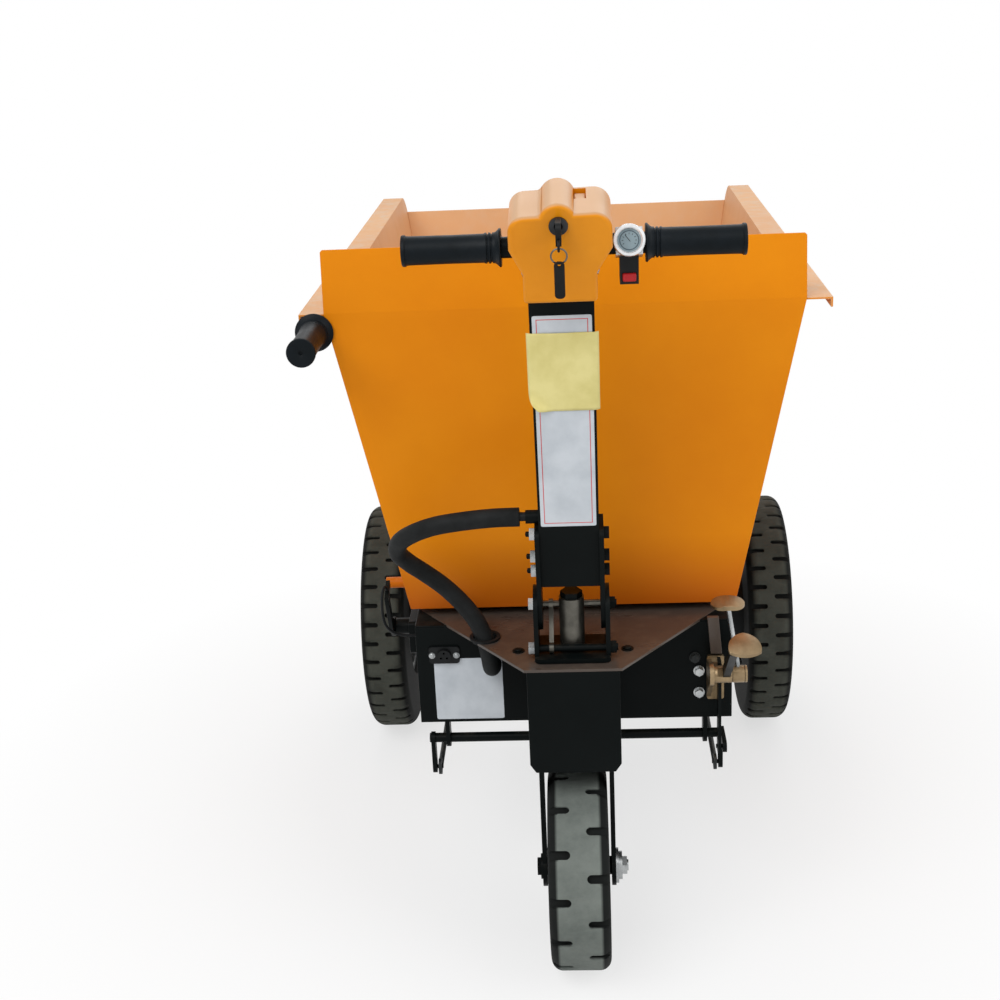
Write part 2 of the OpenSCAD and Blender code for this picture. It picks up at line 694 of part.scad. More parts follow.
// Key lock in the front of the head cover
module lock_cylinder() color("#2a2d2f") on_column() difference() {
    union() {
        yrod(cover_front, cover_front + 22, lock_r, 0, lock_z);
        yrod(cover_front - 3, cover_front, lock_r + 2, 0, lock_z);
    }
    yrod(cover_front - 4, cover_front + 16, 4.6, 0, lock_z);
}

// Key with its moulded bow, its blade and a round wire eye for the ring
key_w = 6.5;
key_bow = [30, 28];
key_eye = [cover_front - key_bow[0] - 7, lock_z - 9];
eye_r = 5.5;
eye_wire = 1.5;
module ignition_key() color("#0f1112") on_column() {
    yz(-key_w / 2, key_w) translate([cover_front - 3 - face - key_bow[0] / 2, lock_z]) round_rect(key_bow[0], key_bow[1], 8);
    translate([0, key_eye[0], key_eye[1]]) rotate([0, 90, 0]) rotate_extrude() translate([eye_r, 0]) circle(eye_wire, $fn = 24);
    translate([-1, cover_front - 5, lock_z - 4]) cube([2, 20, 8]);
}

// Key ring and fob; the ring hangs on the wire of the eye
ring_r = 9;
ring_wire = 1;
ring_z = key_eye[1] - eye_r + eye_wire + ring_wire + 2 * run - ring_r;
module key_fob() color("#141618") on_column() translate([0, key_eye[0], ring_z]) {
    rotate([90, 0, 0]) rotate_extrude() translate([ring_r, 0]) circle(ring_wire, $fn = 24);
    translate([0, 0, -ring_r - 20]) difference() {
        rotate([90, 0, 0]) translate([0, 0, -2]) linear_extrude(4) round_rect(12, 44, 5);
        translate([0, 0, 18.5]) rotate([90, 0, 0]) translate([0, 0, -3]) cylinder(h = 6, r = 2);
    }
}

// Wheels

// Tyre profile: round shoulders above the rim, and a bead inside it
module tyre_profile(r0, r1, w, bead, shoulder) {
    translate([r1 - shoulder, 0]) square([2 * shoulder, w - 2 * shoulder], center = true);
    for (s = [-1, 1]) translate([r1 - shoulder, s * (w / 2 - shoulder)]) circle(shoulder);
    ring(r0 + 14, r1 - shoulder, -w / 2, w / 2);
    ring(r0, r0 + 16, -bead, bead);
}
// Lateral tread slots with round inner ends, staggered from side to side
module tread_slots(n, r, w, length, width) for (k = [0 : n - 1], s = [-1, 1])
    rotate([0, 0, 360 * (k + (s > 0 ? 0.5 : 0)) / n]) translate([r - tread_depth, 0, 0]) {
        translate([0, -width / 2, s > 0 ? w / 2 - length : -w / 2 - 1]) cube([30, width, length + 1]);
        translate([0, 0, s * (w / 2 - length)]) rotate([0, 90, 0]) cylinder(h = 30, d = width, $fn = 24);
    }

front_rim_r = 84;
module front_tyre() color("#55585a") translate([0, front_y, front_z]) rotate([0, 90, 0]) difference() {
    rotate_extrude($fn = 96) tyre_profile(front_rim_r + run, front_d / 2, front_w, front_w / 2 - 8, 16);
    tread_slots(front_slots, front_d / 2, front_w, 25, 12);
}
module front_rim() color("#c9cccb") xrev(0, front_y, front_z) {
    ring(front_rim_r - 4, front_rim_r, -front_w / 2 + 8, front_w / 2 - 8);
    ring(24, front_rim_r - 2, -4, 4);
    ring(20 + run, 26, -hub_half, hub_half);
    ring(15, 22, -hub_half + 14, hub_half - 14);
}
module front_bearings() color("#8a9095") pair() xrev(0, front_y, front_z)
    ring(axle_d / 2 + run, 20, hub_half - 12, hub_half);

module load_tyre() translate([wheel_x, load_y, load_z]) rotate([0, 90, 0]) difference() {
    rotate_extrude($fn = 96) tyre_profile(rim_r + run, load_d / 2, load_w, rim_half - 4 - run, 20);
    tread_slots(load_slots, load_d / 2, load_w, 29, 8);
}
// Pressed steel rim: well, two flanges and a dished disc with stud holes
module load_rim() difference() {
    xrev(wheel_x, load_y, load_z) {
        ring(rim_r - 4, rim_r, -rim_half, rim_half);
        for (s = [-1, 1]) ring(rim_r - 4, rim_r + 13, s > 0 ? rim_half - 4 : -rim_half, s > 0 ? rim_half : 4 - rim_half);
        ring(half_shaft_r + 1, rim_r - 2, disc_x - wheel_x, disc_x - wheel_x + disc_t);
    }
    for (a = [45 : 90 : 315]) xrod(disc_x - 10, disc_x + 20, stud_r + 0.3,
        load_y + stud_pcr * cos(a), load_z + stud_pcr * sin(a));
    for (a = [0 : 90 : 270]) xrod(disc_x - 10, disc_x + 20, 10, load_y + 68 * cos(a), load_z + 68 * sin(a));
}
// Hub with brake drum, half shaft and studs, with its wheel nuts
module load_hub() {
    xrev(0, load_y, load_z) {
        ring(0, half_shaft_r, shaft_x0 + face, disc_x);
        ring(0, half_shaft_r - 2, disc_x - 2, disc_x + 24);
        ring(0, drum_r, disc_x - drum_web, disc_x);
        ring(drum_in_r, drum_r, plate_x + plate_t + 4, disc_x - 2);
    }
    for (a = [45 : 90 : 315]) translate([0, load_y + stud_pcr * cos(a), load_z + stud_pcr * sin(a)]) {
        xrod(disc_x - 2, disc_x + disc_t + 12, stud_r, 0, 0);
        difference() {
            translate([disc_x + disc_t, 0, 0]) rotate([0, 90, 0]) cylinder(h = 8, r = 9, $fn = 6);
            xrod(disc_x, disc_x + 30, stud_r + run, 0, 0);
        }
    }
    difference() {
        translate([disc_x + disc_t, load_y, load_z]) rotate([0, 90, 0]) cylinder(h = 14, r = 19, $fn = 6);
        xrod(disc_x, disc_x + 30, half_shaft_r - 2 + run, load_y, load_z);
    }
}
module right_tyre() color("#484a46") load_tyre();
module right_rim() color("#c9cccb") load_rim();
module right_hub_drum() color("#5a5f61") load_hub();
module left_tyre() color("#484a46") mirror([1, 0, 0]) load_tyre();
module left_rim() color("#c9cccb") mirror([1, 0, 0]) load_rim();
module left_hub_drum() color("#5a5f61") mirror([1, 0, 0]) load_hub();

// Bucket

function side_x(z) = bucket_floor_w / 2 + (z - bucket_z) * side_run / bucket_h;

module bucket_floor() color("#e0902a") {
    w = 2 * side_x(bucket_z + bucket_t);
    dy = bucket_t / tan(front_a);
    yz(-w / 2, w) polygon([[bucket_in_y, bucket_z], [floor_y1, bucket_z],
        [floor_y1 + dy, bucket_z + bucket_t], [bucket_in_y, bucket_z + bucket_t]]);
}
// Outline of a side plate in Y and Z, round at the front top corner
module side_outline() {
    dy = bucket_t / tan(front_a);
    polygon([[bucket_in_y, bucket_z + bucket_t], [floor_y1 + dy, bucket_z + bucket_t],
        [top_y1 - corner_t * cos(front_a), front_top_z], [top_y1 - corner_t, flange_z], [bucket_in_y, flange_z]]);
    translate([top_y1 - corner_t, flange_z - corner_r]) circle(corner_r);
}
// One side: sloping plate, top flange and its lip
module bucket_side() {
    z0 = bucket_z + bucket_t;
    x1 = bucket_top_w / 2;
    intersection() {
        xz(bucket_in_y, bucket_top_l) polygon([[side_x(z0) - side_tx, z0], [side_x(z0), z0], [x1, flange_z],
            [x1 - side_tx, flange_z]]);
        yz(0, 1000) side_outline();
    }
    xz(bucket_in_y, top_y1 - corner_t - bucket_in_y) {
        translate([x1 - side_tx, flange_z - bucket_t]) square([flange_w + side_tx, bucket_t]);
        translate([x1 + flange_w - bucket_t, flange_z - lip_h]) square([bucket_t, lip_h]);
    }
}
module bucket_right_side() color("#dd8c28") bucket_side();
module bucket_left_side() color("#dd8c28") mirror([1, 0, 0]) bucket_side();
// Rear plate with the guard bent forward above the flange
module bucket_rear() color("#e6961e") intersection() {
    x0 = bucket_floor_w / 2;
    x1 = bucket_top_w / 2;
    bend_z = flange_z + 1;
    top_y = bucket_y + guard_h * sin(guard_lean);
    top_z = bend_z + guard_h * cos(guard_lean);
    yz(-x1, 2 * x1) polygon([[bucket_y, bucket_z], [bucket_y, bend_z], [top_y, top_z],
        [top_y + bucket_t * cos(guard_lean), top_z - bucket_t * sin(guard_lean)],
        [bucket_in_y, bend_z - bucket_t * tan(guard_lean / 2)], [bucket_in_y, bucket_z]]);
    xz(bucket_y - 1, guard_h) polygon([[-x0, bucket_z], [x0, bucket_z], [x1, flange_z], [x1, top_z - 3],
        [x1 - 3, top_z], [3 - x1, top_z], [-x1, top_z - 3], [-x1, flange_z]]);
}
// Front wall between the sides, sloping out to the pouring edge
module bucket_front() color("#dd8c28") intersection() {
    dy = bucket_t / tan(front_a);
    ty = bucket_t / sin(front_a);
    y1 = top_y1 - corner_t * cos(front_a);
    yz(-500, 1000) polygon([[floor_y1 + dy - ty, bucket_z + bucket_t], [floor_y1 + dy, bucket_z + bucket_t],
        [y1, front_top_z], [y1 - ty, front_top_z]]);
    z0 = bucket_z + bucket_t;
    xi = bucket_top_w / 2 - side_tx;
    xz(bucket_y, 2000) polygon([[-side_x(z0) + side_tx, z0], [side_x(z0) - side_tx, z0], [xi, flange_z], [-xi, flange_z]]);
}
// Hinge lugs under the floor, on cross plates, and the striker pin of the latch on the left side plate
module bucket_lugs() color("#d8871f") {
    pair() difference() {
        union() {
            yz(hinge_x - lug_t / 2, lug_t) {
                polygon([[hinge_y - 22, bucket_z], [hinge_y + 46, bucket_z], [hinge_y + 16, hinge_z],
                    [hinge_y - 16, hinge_z]]);
                translate([hinge_y, hinge_z]) circle(18);
            }
            translate([hinge_x - 30, hinge_y - 24, bucket_z - 5]) cube([60, 84, 5]);
        }
        xrod(0, 400, hinge_pin_r + run, hinge_y, hinge_z);
    }
    difference() {
        xrod(latch_x - hook_t - 3, 0, striker_r, latch_y, latch_pin_z);
        xz(latch_y - 20, 40) polygon([[-side_x(bucket_z), bucket_z], [10, bucket_z], [10, flange_z],
            [-side_x(flange_z), flange_z]]);
    }
}
// Tip bar under the left flange, hung on two gussets
tip_x = -bucket_top_w / 2 - 14;
tip_z = flange_z - 24;
tip_r = 11;
tip_end_y = bucket_y - 116;
module tip_bar() color("#d8871f") {
    yrod(tip_end_y + 5, bucket_y + 170, tip_r, tip_x, tip_z);
    for (y = [bucket_y + 30, bucket_y + 140]) translate([tip_x - tip_r, y, tip_z])
        cube([2 * tip_r, 6, flange_z - bucket_t - tip_z]);
}
module tip_grip() color("#101214") translate([tip_x, tip_end_y + 114, tip_z]) rotate([90, 0, 0])
    rotate_extrude() grip_profile(2 * tip_r, 114, grip_d);

// Brake and latch

// A flat bar in Y and Z between two points, with round ends
module bar2d(p, q, w) {
    a = atan2(q[1] - p[1], q[0] - p[0]);
    translate(p) rotate(a) translate([0, 0.1 - w / 2]) square([norm(q - p), w - 0.2]);
    translate(p) circle(w / 2);
    translate(q) circle(w / 2);
}

// Crown of a pedal pad: a round cap cut to the pad's outline
module pad(t, r) intersection() {
    translate([0, 0, -t]) linear_extrude(2 * t) children();
    translate([0, 0, -r]) sphere(r, $fn = 96);
}

// Brake pedal: hub, arm to the link, pedal arm and three-cornered pad
pad_t = 8;
pad_tilt = 18;
brake_pad = [cheek_x + 37, pedal_y - 104, pedal_z + 96];
module brake_pedal() color("#96794a") difference() {
    x0 = cheek_x + 6 + face;
    union() {
        xrod(x0, cheek_x + 31, pedal_hub_r, pedal_y, pedal_z);
        yz(x0, link_x - x0 - 1) bar2d([pedal_y, pedal_z], [link_y, pedal_z], 14);
        xrod(x0 + 1, link_x + rod_t + 2, eye_pin_r, link_y, pedal_z);
        yz(cheek_x + 18, 10) bar2d([pedal_y, pedal_z], [brake_pad[1] + 6, brake_pad[2] - 14], 14);
        translate(brake_pad) rotate([pad_tilt, 0, 0]) pad(pad_t, 72)
            intersection_for(a = [90, 210, 330]) translate([12 * cos(a), 12 * sin(a)]) circle(32);
    }
    xrod(cheek_x - 1, cheek_x + 60, pedal_pin_r + run, pedal_y, pedal_z);
}

// Parking pedal: hub, rod and oval pad
park_pad = [cheek_x + 24, pedal_y - 9, pedal_z + 116];
module park_pedal() color("#96794a") difference() {
    union() {
        xrod(cheek_x + 32, cheek_x + 48, pedal_hub_r, pedal_y, pedal_z);
        translate([cheek_x + 40, pedal_y, pedal_z + 8]) rotate([5, -9, 0]) cylinder(h = 103, r = 3.2);
        translate(park_pad) rotate([pad_tilt / 2, 0, 0]) pad(pad_t, 60) slot(23, 15);
    }
    xrod(cheek_x - 1, cheek_x + 60, pedal_pin_r + run, pedal_y, pedal_z);
}

// Flat link from the brake pedal down to the cross shaft
module brake_link() color("#1c2022") yz(link_x, rod_t) difference() {
    translate([link_y - 10, shaft_z - 10]) square([20, pedal_z - shaft_z + 20]);
    for (z = [shaft_z, pedal_z]) translate([link_y, z]) slot(slot_half, eye_pin_r + slot_play);
}

// Brake cross shaft with a drop arm on each side and the bell crank arm on the right
module cross_shaft() color("#15191a") {
    half = max(arm_x, bell_x) + arm_t;
    xrod(-half, half, shaft_d / 2, shaft_y, shaft_z);
    pair() {
        yz(arm_x, arm_t) bar2d([shaft_y, shaft_z], [shaft_y, rod_z], 18);
        xrod(rod_x - 2, arm_x + 1, eye_pin_r, shaft_y, rod_z);
    }
    yz(bell_x, arm_t) bar2d([shaft_y, shaft_z], [link_y, shaft_z], 18);
    xrod(link_x - 2, bell_x + 1, eye_pin_r, link_y, shaft_z);
}

// Pull rods from the drop arms to the drum brake levers, with an eye at each end
module brake_rods() color("#5a6062") pair() {
    for (y = [shaft_y, cam_y]) yz(rod_x, rod_t) difference() {
        translate([y, rod_z]) slot(9, 12);
        translate([y, rod_z]) slot(eye_pin_r + slot_play, slot_half);
    }
    yrod(shaft_y + 7, cam_y - 7, rod_d / 2, rod_x + rod_t / 2, rod_z);
}

// Drum brake levers on their cam shafts
module brake_levers() color("#4a5052") pair() {
    yz(arm_x, arm_t) bar2d([cam_y, load_z], [cam_y, rod_z], 18);
    xrod(arm_x, plate_x + plate_t + 20, cam_r, cam_y, load_z);
    xrod(rod_x - 2, arm_x + 1, eye_pin_r, cam_y, rod_z);
}

// Bucket latch hook, drawn swung open from the striker pin
module latch_hook() color("#1a1e20") translate([0, latch_y, latch_z]) rotate([hook_open, 0, 0])
    yz(latch_x - hook_t, hook_t) difference() {
        reach = latch_pin_z - latch_z + striker_r + hook_play;
        union() {
            circle(14);
            polygon([[-13, -4], [13, -4], [-11, 32], [-11, reach + 2], [-25, reach - 2], [-25, 20]]);
            intersection() {
                difference() {
                    circle(reach + 10);
                    circle(reach);
                }
                translate([-25, 0]) square([35, reach + 20]);
            }
        }
        circle(pin_r + run);
    }

chassis_box();
box_lid();
deck_plate();
nose_box();
head_tube();
steering_bearings();
axle_housing();
drive_motor();
battery_pack();
motor_controller();
charge_socket();
shaft_hangers();
pedal_bracket();
latch_bracket();
bucket_hinges();
rest_pads();
drum_brakes();
hose_grommet();
conduit_hose();
latch_lanyard();
fork();
front_axle();
stem_bracket();
column_straps();
column();
steering_bolts();
head_cover();
handlebar();
left_grip();
gauge_body();
lock_cylinder();
front_tyre();
front_rim();
front_bearings();
left_tyre();
left_rim();
left_hub_drum();
right_tyre();
right_rim();
right_hub_drum();
bucket_floor();
bucket_left_side();
bucket_right_side();
bucket_rear();
bucket_front();
bucket_lugs();
tip_bar();
tip_grip();
throttle_grip();
red_button();
selector_switch();
ignition_key();
key_fob();
brake_pedal();
park_pedal();
brake_link();
cross_shaft();
brake_rods();
brake_levers();
latch_hook();
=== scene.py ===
"""Looks of the three-wheel concrete buggy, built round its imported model.

Metres, in the frame of the model: X to the right as the operator sees it, Y forward, Z up.
The sections follow the buggy as it is put together, from the battery box to the bucket latch.
"""
import json
from math import cos, pi, radians, sin

import bmesh
import bpy
from mathutils import Matrix, Vector


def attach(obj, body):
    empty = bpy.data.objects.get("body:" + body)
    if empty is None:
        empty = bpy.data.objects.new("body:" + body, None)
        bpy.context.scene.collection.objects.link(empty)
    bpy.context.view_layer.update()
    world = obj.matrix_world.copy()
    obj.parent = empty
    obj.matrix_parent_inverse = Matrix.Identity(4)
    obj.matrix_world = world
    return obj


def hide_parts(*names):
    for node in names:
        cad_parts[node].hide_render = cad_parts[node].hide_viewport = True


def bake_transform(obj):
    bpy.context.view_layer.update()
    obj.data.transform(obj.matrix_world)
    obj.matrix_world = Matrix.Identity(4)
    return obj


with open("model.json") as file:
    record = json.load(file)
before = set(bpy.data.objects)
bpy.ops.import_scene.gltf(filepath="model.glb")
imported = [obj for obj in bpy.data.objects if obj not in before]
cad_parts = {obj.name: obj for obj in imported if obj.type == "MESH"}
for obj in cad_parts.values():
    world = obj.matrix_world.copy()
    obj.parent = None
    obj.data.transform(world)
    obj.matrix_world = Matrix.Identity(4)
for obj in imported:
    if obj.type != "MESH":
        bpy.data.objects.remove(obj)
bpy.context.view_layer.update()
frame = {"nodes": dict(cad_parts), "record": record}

# Battery box and nose box
# Folded 3 mm steel sheet in black powder coat, welded at the corners.
# The box stands on the axle, and the nose in front of it carries the steering head.
behaviour = frame["record"]["behaviour"]
BODY_OF = {node: body for body, nodes in behaviour["bodies"].items() for node in nodes}


def ink(red, green, blue):
    """A paint colour as it looks on a screen, turned into light values."""
    def light(value):
        share = value / 255
        return share / 12.92 if share <= 0.04045 else ((share + 0.055) / 1.055) ** 2.4
    return (light(red), light(green), light(blue), 1.0)


def start_finish(name):
    """An empty finish: the material, its node tree, its shader and the place on the piece."""
    material = bpy.data.materials.new(name)
    material.use_nodes = True
    tree = material.node_tree
    place = tree.nodes.new("ShaderNodeTexCoord")
    return material, tree, tree.nodes["Principled BSDF"], place.outputs["Object"]


def grain(tree, place, scale, detail=4.0, rough=0.55):
    """Cloudy spots of a given size, from 0 to 1."""
    noise = tree.nodes.new("ShaderNodeTexNoise")
    noise.inputs["Scale"].default_value = scale
    noise.inputs["Detail"].default_value = detail
    noise.inputs["Roughness"].default_value = rough
    tree.links.new(place, noise.inputs["Vector"])
    return noise.outputs["Fac"]


def stretched(tree, place, sizes):
    """The place on the piece, drawn out along one axis, for brush and wipe marks."""
    mapping = tree.nodes.new("ShaderNodeMapping")
    mapping.inputs["Scale"].default_value = sizes
    tree.links.new(place, mapping.inputs["Vector"])
    return mapping.outputs["Vector"]


def shades(tree, amount, stops):
    """Colours picked by an amount, each stop a position and a colour."""
    ramp = tree.nodes.new("ShaderNodeValToRGB")
    bar = ramp.color_ramp
    while len(bar.elements) < len(stops):
        bar.elements.new(0.5)
    for element, (position, colour) in zip(bar.elements, stops):
        element.position = position
        element.color = colour
    tree.links.new(amount, ramp.inputs["Fac"])
    return ramp.outputs["Color"]


def level(tree, amount, low, high, low_to=0.0, high_to=1.0):
    """An amount taken from one range to another, and held at its ends."""
    node = tree.nodes.new("ShaderNodeMapRange")
    node.inputs["From Min"].default_value = low
    node.inputs["From Max"].default_value = high
    node.inputs["To Min"].default_value = low_to
    node.inputs["To Max"].default_value = high_to
    tree.links.new(amount, node.inputs["Value"])
    return node.outputs["Result"]


def worked_out(tree, kind, a, b=0.0):
    """An amount worked out from one or two others, each a socket or a number."""
    node = tree.nodes.new("ShaderNodeMath")
    node.operation = kind
    for socket, value in zip(node.inputs, (a, b)):
        if isinstance(value, (int, float)):
            socket.default_value = value
        else:
            tree.links.new(value, socket)
    return node.outputs["Value"]


def laid_over(tree, amount, under, over):
    """One colour laid over another where the amount is high."""
    node = tree.nodes.new("ShaderNodeMix")
    node.data_type = "RGBA"
    tree.links.new(amount, node.inputs["Factor"])
    for socket, value in zip((node.inputs[6], node.inputs[7]), (under, over)):
        if isinstance(value, tuple):
            socket.default_value = value
        else:
            tree.links.new(value, socket)
    return node.outputs[2]


def relief(tree, shader, height, strength, depth):
    """Fine height on the surface."""
    bump = tree.nodes.new("ShaderNodeBump")
    bump.inputs["Strength"].default_value = strength
    bump.inputs["Distance"].default_value = depth
    tree.links.new(height, bump.inputs["Height"])
    tree.links.new(bump.outputs["Normal"], shader.inputs["Normal"])


def along(tree, place, axis):
    """How far a place or a direction reaches along one axis."""
    split = tree.nodes.new("ShaderNodeSeparateXYZ")
    tree.links.new(place, split.inputs["Vector"])
    return split.outputs[axis]


def upward(tree):
    """How far the surface of the piece at rest faces up, from -1 to 1."""
    place = tree.nodes.new("ShaderNodeTexCoord")
    return along(tree, place.outputs["Normal"], "Z")


def painted(name, dark, light, rough, dust, dust_share, shine=0.5, coat=0.0, orange_peel=0.06, lower_shade=None):
    """Sprayed paint: cloudy colour, fine orange peel, and dust that lies on top faces.

    Lower shade is a painted shade: a colour and the two heights between which it fades away upward."""
    material, tree, shader, place = start_finish(name)
    colour = shades(tree, grain(tree, place, 5.0, 6.0), [(0.3, dark), (0.72, light)])
    # Painted shade: the colour turns darker towards the bottom.
    if lower_shade:
        shade_colour, full_to, none_from = lower_shade
        low_down = level(tree, along(tree, place, "Z"), full_to, none_from, 1.0, 0.0)
        colour = laid_over(tree, low_down, colour, shade_colour)
    lying = level(tree, upward(tree), 0.35, 0.95)
    specks = level(tree, grain(tree, place, 38.0, 8.0, 0.7), 0.46, 0.72)
    film = worked_out(tree, "MULTIPLY", worked_out(tree, "MULTIPLY", lying, specks), dust_share)
    tree.links.new(laid_over(tree, film, colour, dust), shader.inputs["Base Color"])
    wiped = grain(tree, stretched(tree, place, (2.0, 7.0, 5.0)), 4.0, 5.0)
    tree.links.new(level(tree, wiped, 0.3, 0.75, rough - 0.05, rough + 0.08), shader.inputs["Roughness"])
    relief(tree, shader, grain(tree, place, 420.0, 2.0), orange_peel, 0.0006)
    shader.inputs["Specular IOR Level"].default_value = shine
    shader.inputs["Coat Weight"].default_value = coat
    shader.inputs["Coat Roughness"].default_value = 0.12
    return material


def in_scene(name, shape, *finishes):
    """A drawn shape made a piece of the scene, with its finishes in order."""
    mesh = bpy.data.meshes.new(name)
    shape.to_mesh(mesh)
    shape.free()
    for finish in finishes:
        mesh.materials.append(finish)
    piece = bpy.data.objects.new(name, mesh)
    bpy.context.scene.collection.objects.link(piece)
    return piece


def smoothed(piece, sharp):
    """Smooth shading, with edges steeper than an angle in degrees kept sharp."""
    for face in piece.data.polygons:
        face.use_smooth = True
    piece.data.set_sharp_from_angle(angle=radians(sharp))


def finished(node, material, edge=0.0, steps=2, sharp=32.0, only=None):
    """A piece of the frame with joined faces and its sharp edges broken by the width of edge.

    Only is a test on the two ends of an edge; the edges that pass get the full width."""
    shape = bmesh.new()
    shape.from_mesh(frame["nodes"][node].data)
    bmesh.ops.remove_doubles(shape, verts=shape.verts, dist=2e-6)
    bmesh.ops.dissolve_limit(shape, angle_limit=radians(0.6), verts=shape.verts, edges=shape.edges)
    if edge:
        corners = [e for e in shape.edges
                   if len(e.link_faces) == 2 and e.calc_face_angle() > radians(sharp)
                   and (only is None or all(only(v.co) for v in e.verts))]
        bmesh.ops.bevel(shape, geom=corners, offset=edge, offset_type="OFFSET", segments=steps,
                        profile=0.5, affect="EDGES", clamp_overlap=only is None)
    piece = in_scene(node + "_finished", shape, material)
    for face in piece.data.polygons:
        face.material_index = 0
    smoothed(piece, sharp)
    even = piece.modifiers.new("even_shading", "WEIGHTED_NORMAL")
    even.keep_sharp = True
    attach(piece, BODY_OF[node])
    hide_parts(node)
    return piece


box_black = painted("box_black", ink(7, 11, 11), ink(14, 18, 18), rough=0.36, dust=ink(96, 88, 76),
                    dust_share=0.16, shine=0.06)
box = finished("chassis_box", box_black, edge=0.0012)
finished("nose_box", box_black, edge=0.0012)
for node in ("head_tube", "shaft_hangers", "bucket_hinges"):
    finished(node, box_black)

# Deck plate and box lid
# Bent plate over the nose and the lid behind it, in gloss black paint whose brown colour is a painted
# reflection of the orange bucket. Two cap screws hold the deck to the nose.
# The upright lug beside the pedals has the same brown.
DECK_REAR_Y, DECK_REAR_HALF, DECK_FLARE = -0.367, 0.203, 0.75
BOX_FACE_Y, REFLECTION_END_Y = -0.399, -0.33
DECK_SCREW_X, DECK_SCREW_Y, DECK_TOP_Z = 0.074, -0.491, 0.485
UP = Vector((0, 0, 1))
# The brown in this black paint is a painted reflection of the orange bucket.
deck_gloss = painted("deck_gloss", ink(66, 58, 53), ink(86, 74, 65), rough=0.3, dust=ink(124, 108, 92),
                     dust_share=0.25, shine=0.3, coat=0.1)


def patch(piece, material, where):
    """A second finish on the faces of a piece that pass a test on their centre and facing."""
    piece.data.materials.append(material)
    for face in piece.data.polygons:
        if where(face.center, face.normal):
            face.material_index = len(piece.data.materials) - 1


def scored(piece, planes):
    """Cuts the faces of a piece along planes, so that each side can have its own finish."""
    shape = bmesh.new()
    shape.from_mesh(piece.data)
    for at, facing in planes:
        bmesh.ops.bisect_plane(shape, geom=shape.verts[:] + shape.edges[:] + shape.faces[:],
                               plane_co=at, plane_no=facing)
    shape.to_mesh(piece.data)
    shape.free()


def lid_reflection_part(at, facing):
    """The part of the lid that carries on the outline of the deck and its painted reflection."""
    return at.y < REFLECTION_END_Y and abs(at.x) < DECK_REAR_HALF + DECK_FLARE * (at.y - DECK_REAR_Y)


finished("deck_plate", deck_gloss, edge=0.0012)
patch(box, deck_gloss, lambda at, facing: at.y < BOX_FACE_Y - 0.0012)
lid = finished("box_lid", box_black, edge=0.0012)
# Where the lid carries on the outline of the deck, it gets the same painted reflection.
lid_cuts = [((side * DECK_REAR_HALF, DECK_REAR_Y, 0), (side, -DECK_FLARE, 0)) for side in (1, -1)]
scored(lid, lid_cuts + [((0, REFLECTION_END_Y, 0), (0, 1, 0))])
patch(lid, deck_gloss, lid_reflection_part)


def bolt_tree():
    """A tree that sets a crowned head on a washer at each point, turned to the point's own facing."""
    tree = bpy.data.node_groups.new("bolt_heads", "GeometryNodeTree")
    make, link = tree.nodes.new, tree.links.new

    def socket(label, kind, way="INPUT"):
        tree.interface.new_socket(label, in_out=way, socket_type="NodeSocket" + kind)

    socket("Geometry", "Geometry")
    for label in ("Head radius", "Head height", "Washer radius", "Washer height"):
        socket(label, "Float")
    socket("Head sides", "Int")
    socket("Finish", "Material")
    socket("Geometry", "Geometry", "OUTPUT")
    given, result = make("NodeGroupInput"), make("NodeGroupOutput")

    def share(label, part):
        """A part of a given size."""
        node = make("ShaderNodeMath")
        node.operation = "MULTIPLY"
        node.inputs[1].default_value = part
        link(given.outputs[label], node.inputs[0])
        return node.outputs[0]

    def lifted(shape, height):
        """A shape moved up off the face."""
        up, move = make("ShaderNodeCombineXYZ"), make("GeometryNodeTransform")
        link(height, up.inputs["Z"])
        link(shape, move.inputs["Geometry"])
        link(up.outputs["Vector"], move.inputs["Translation"])
        return move.outputs["Geometry"]

    def disc(part):
        """The head or the washer as a cylinder, and the same standing on the face."""
        cylinder = make("GeometryNodeMeshCylinder")
        link(given.outputs[part + " radius"], cylinder.inputs["Radius"])
        link(given.outputs[part + " height"], cylinder.inputs["Depth"])
        return cylinder, lifted(cylinder.outputs["Mesh"], share(part + " height", 0.5))

    washer, washer_on_face = disc("Washer")
    washer.inputs["Vertices"].default_value = 24
    head, head_on_face = disc("Head")
    link(given.outputs["Head sides"], head.inputs["Vertices"])
    crown, flat = make("GeometryNodeMeshUVSphere"), make("GeometryNodeTransform")
    crown.inputs["Segments"].default_value = 16
    crown.inputs["Rings"].default_value = 8
    link(share("Head radius", 0.82), crown.inputs["Radius"])
    link(crown.outputs["Mesh"], flat.inputs["Geometry"])
    flat.inputs["Scale"].default_value = (1.0, 1.0, 0.3)
    crown_on_head = lifted(flat.outputs["Geometry"], given.outputs["Head height"])
    joined = make("GeometryNodeJoinGeometry")
    for shape in (washer_on_face, head_on_face, crown_on_head):
        link(shape, joined.inputs["Geometry"])
    facing, turn = make("GeometryNodeInputNamedAttribute"), make("FunctionNodeAlignRotationToVector")
    facing.data_type = "FLOAT_VECTOR"
    facing.inputs["Name"].default_value = "facing"
    turn.axis = "Z"
    link(facing.outputs["Attribute"], turn.inputs["Vector"])
    spread = make("GeometryNodeInstanceOnPoints")
    link(given.outputs["Geometry"], spread.inputs["Points"])
    link(joined.outputs["Geometry"], spread.inputs["Instance"])
    link(turn.outputs["Rotation"], spread.inputs["Rotation"])
    real, paint = make("GeometryNodeRealizeInstances"), make("GeometryNodeSetMaterial")
    link(spread.outputs["Instances"], real.inputs["Geometry"])
    link(real.outputs["Geometry"], paint.inputs["Geometry"])
    link(given.outputs["Finish"], paint.inputs["Material"])
    link(paint.outputs["Geometry"], result.inputs["Geometry"])
    return tree


BOLT_TREE = bolt_tree()


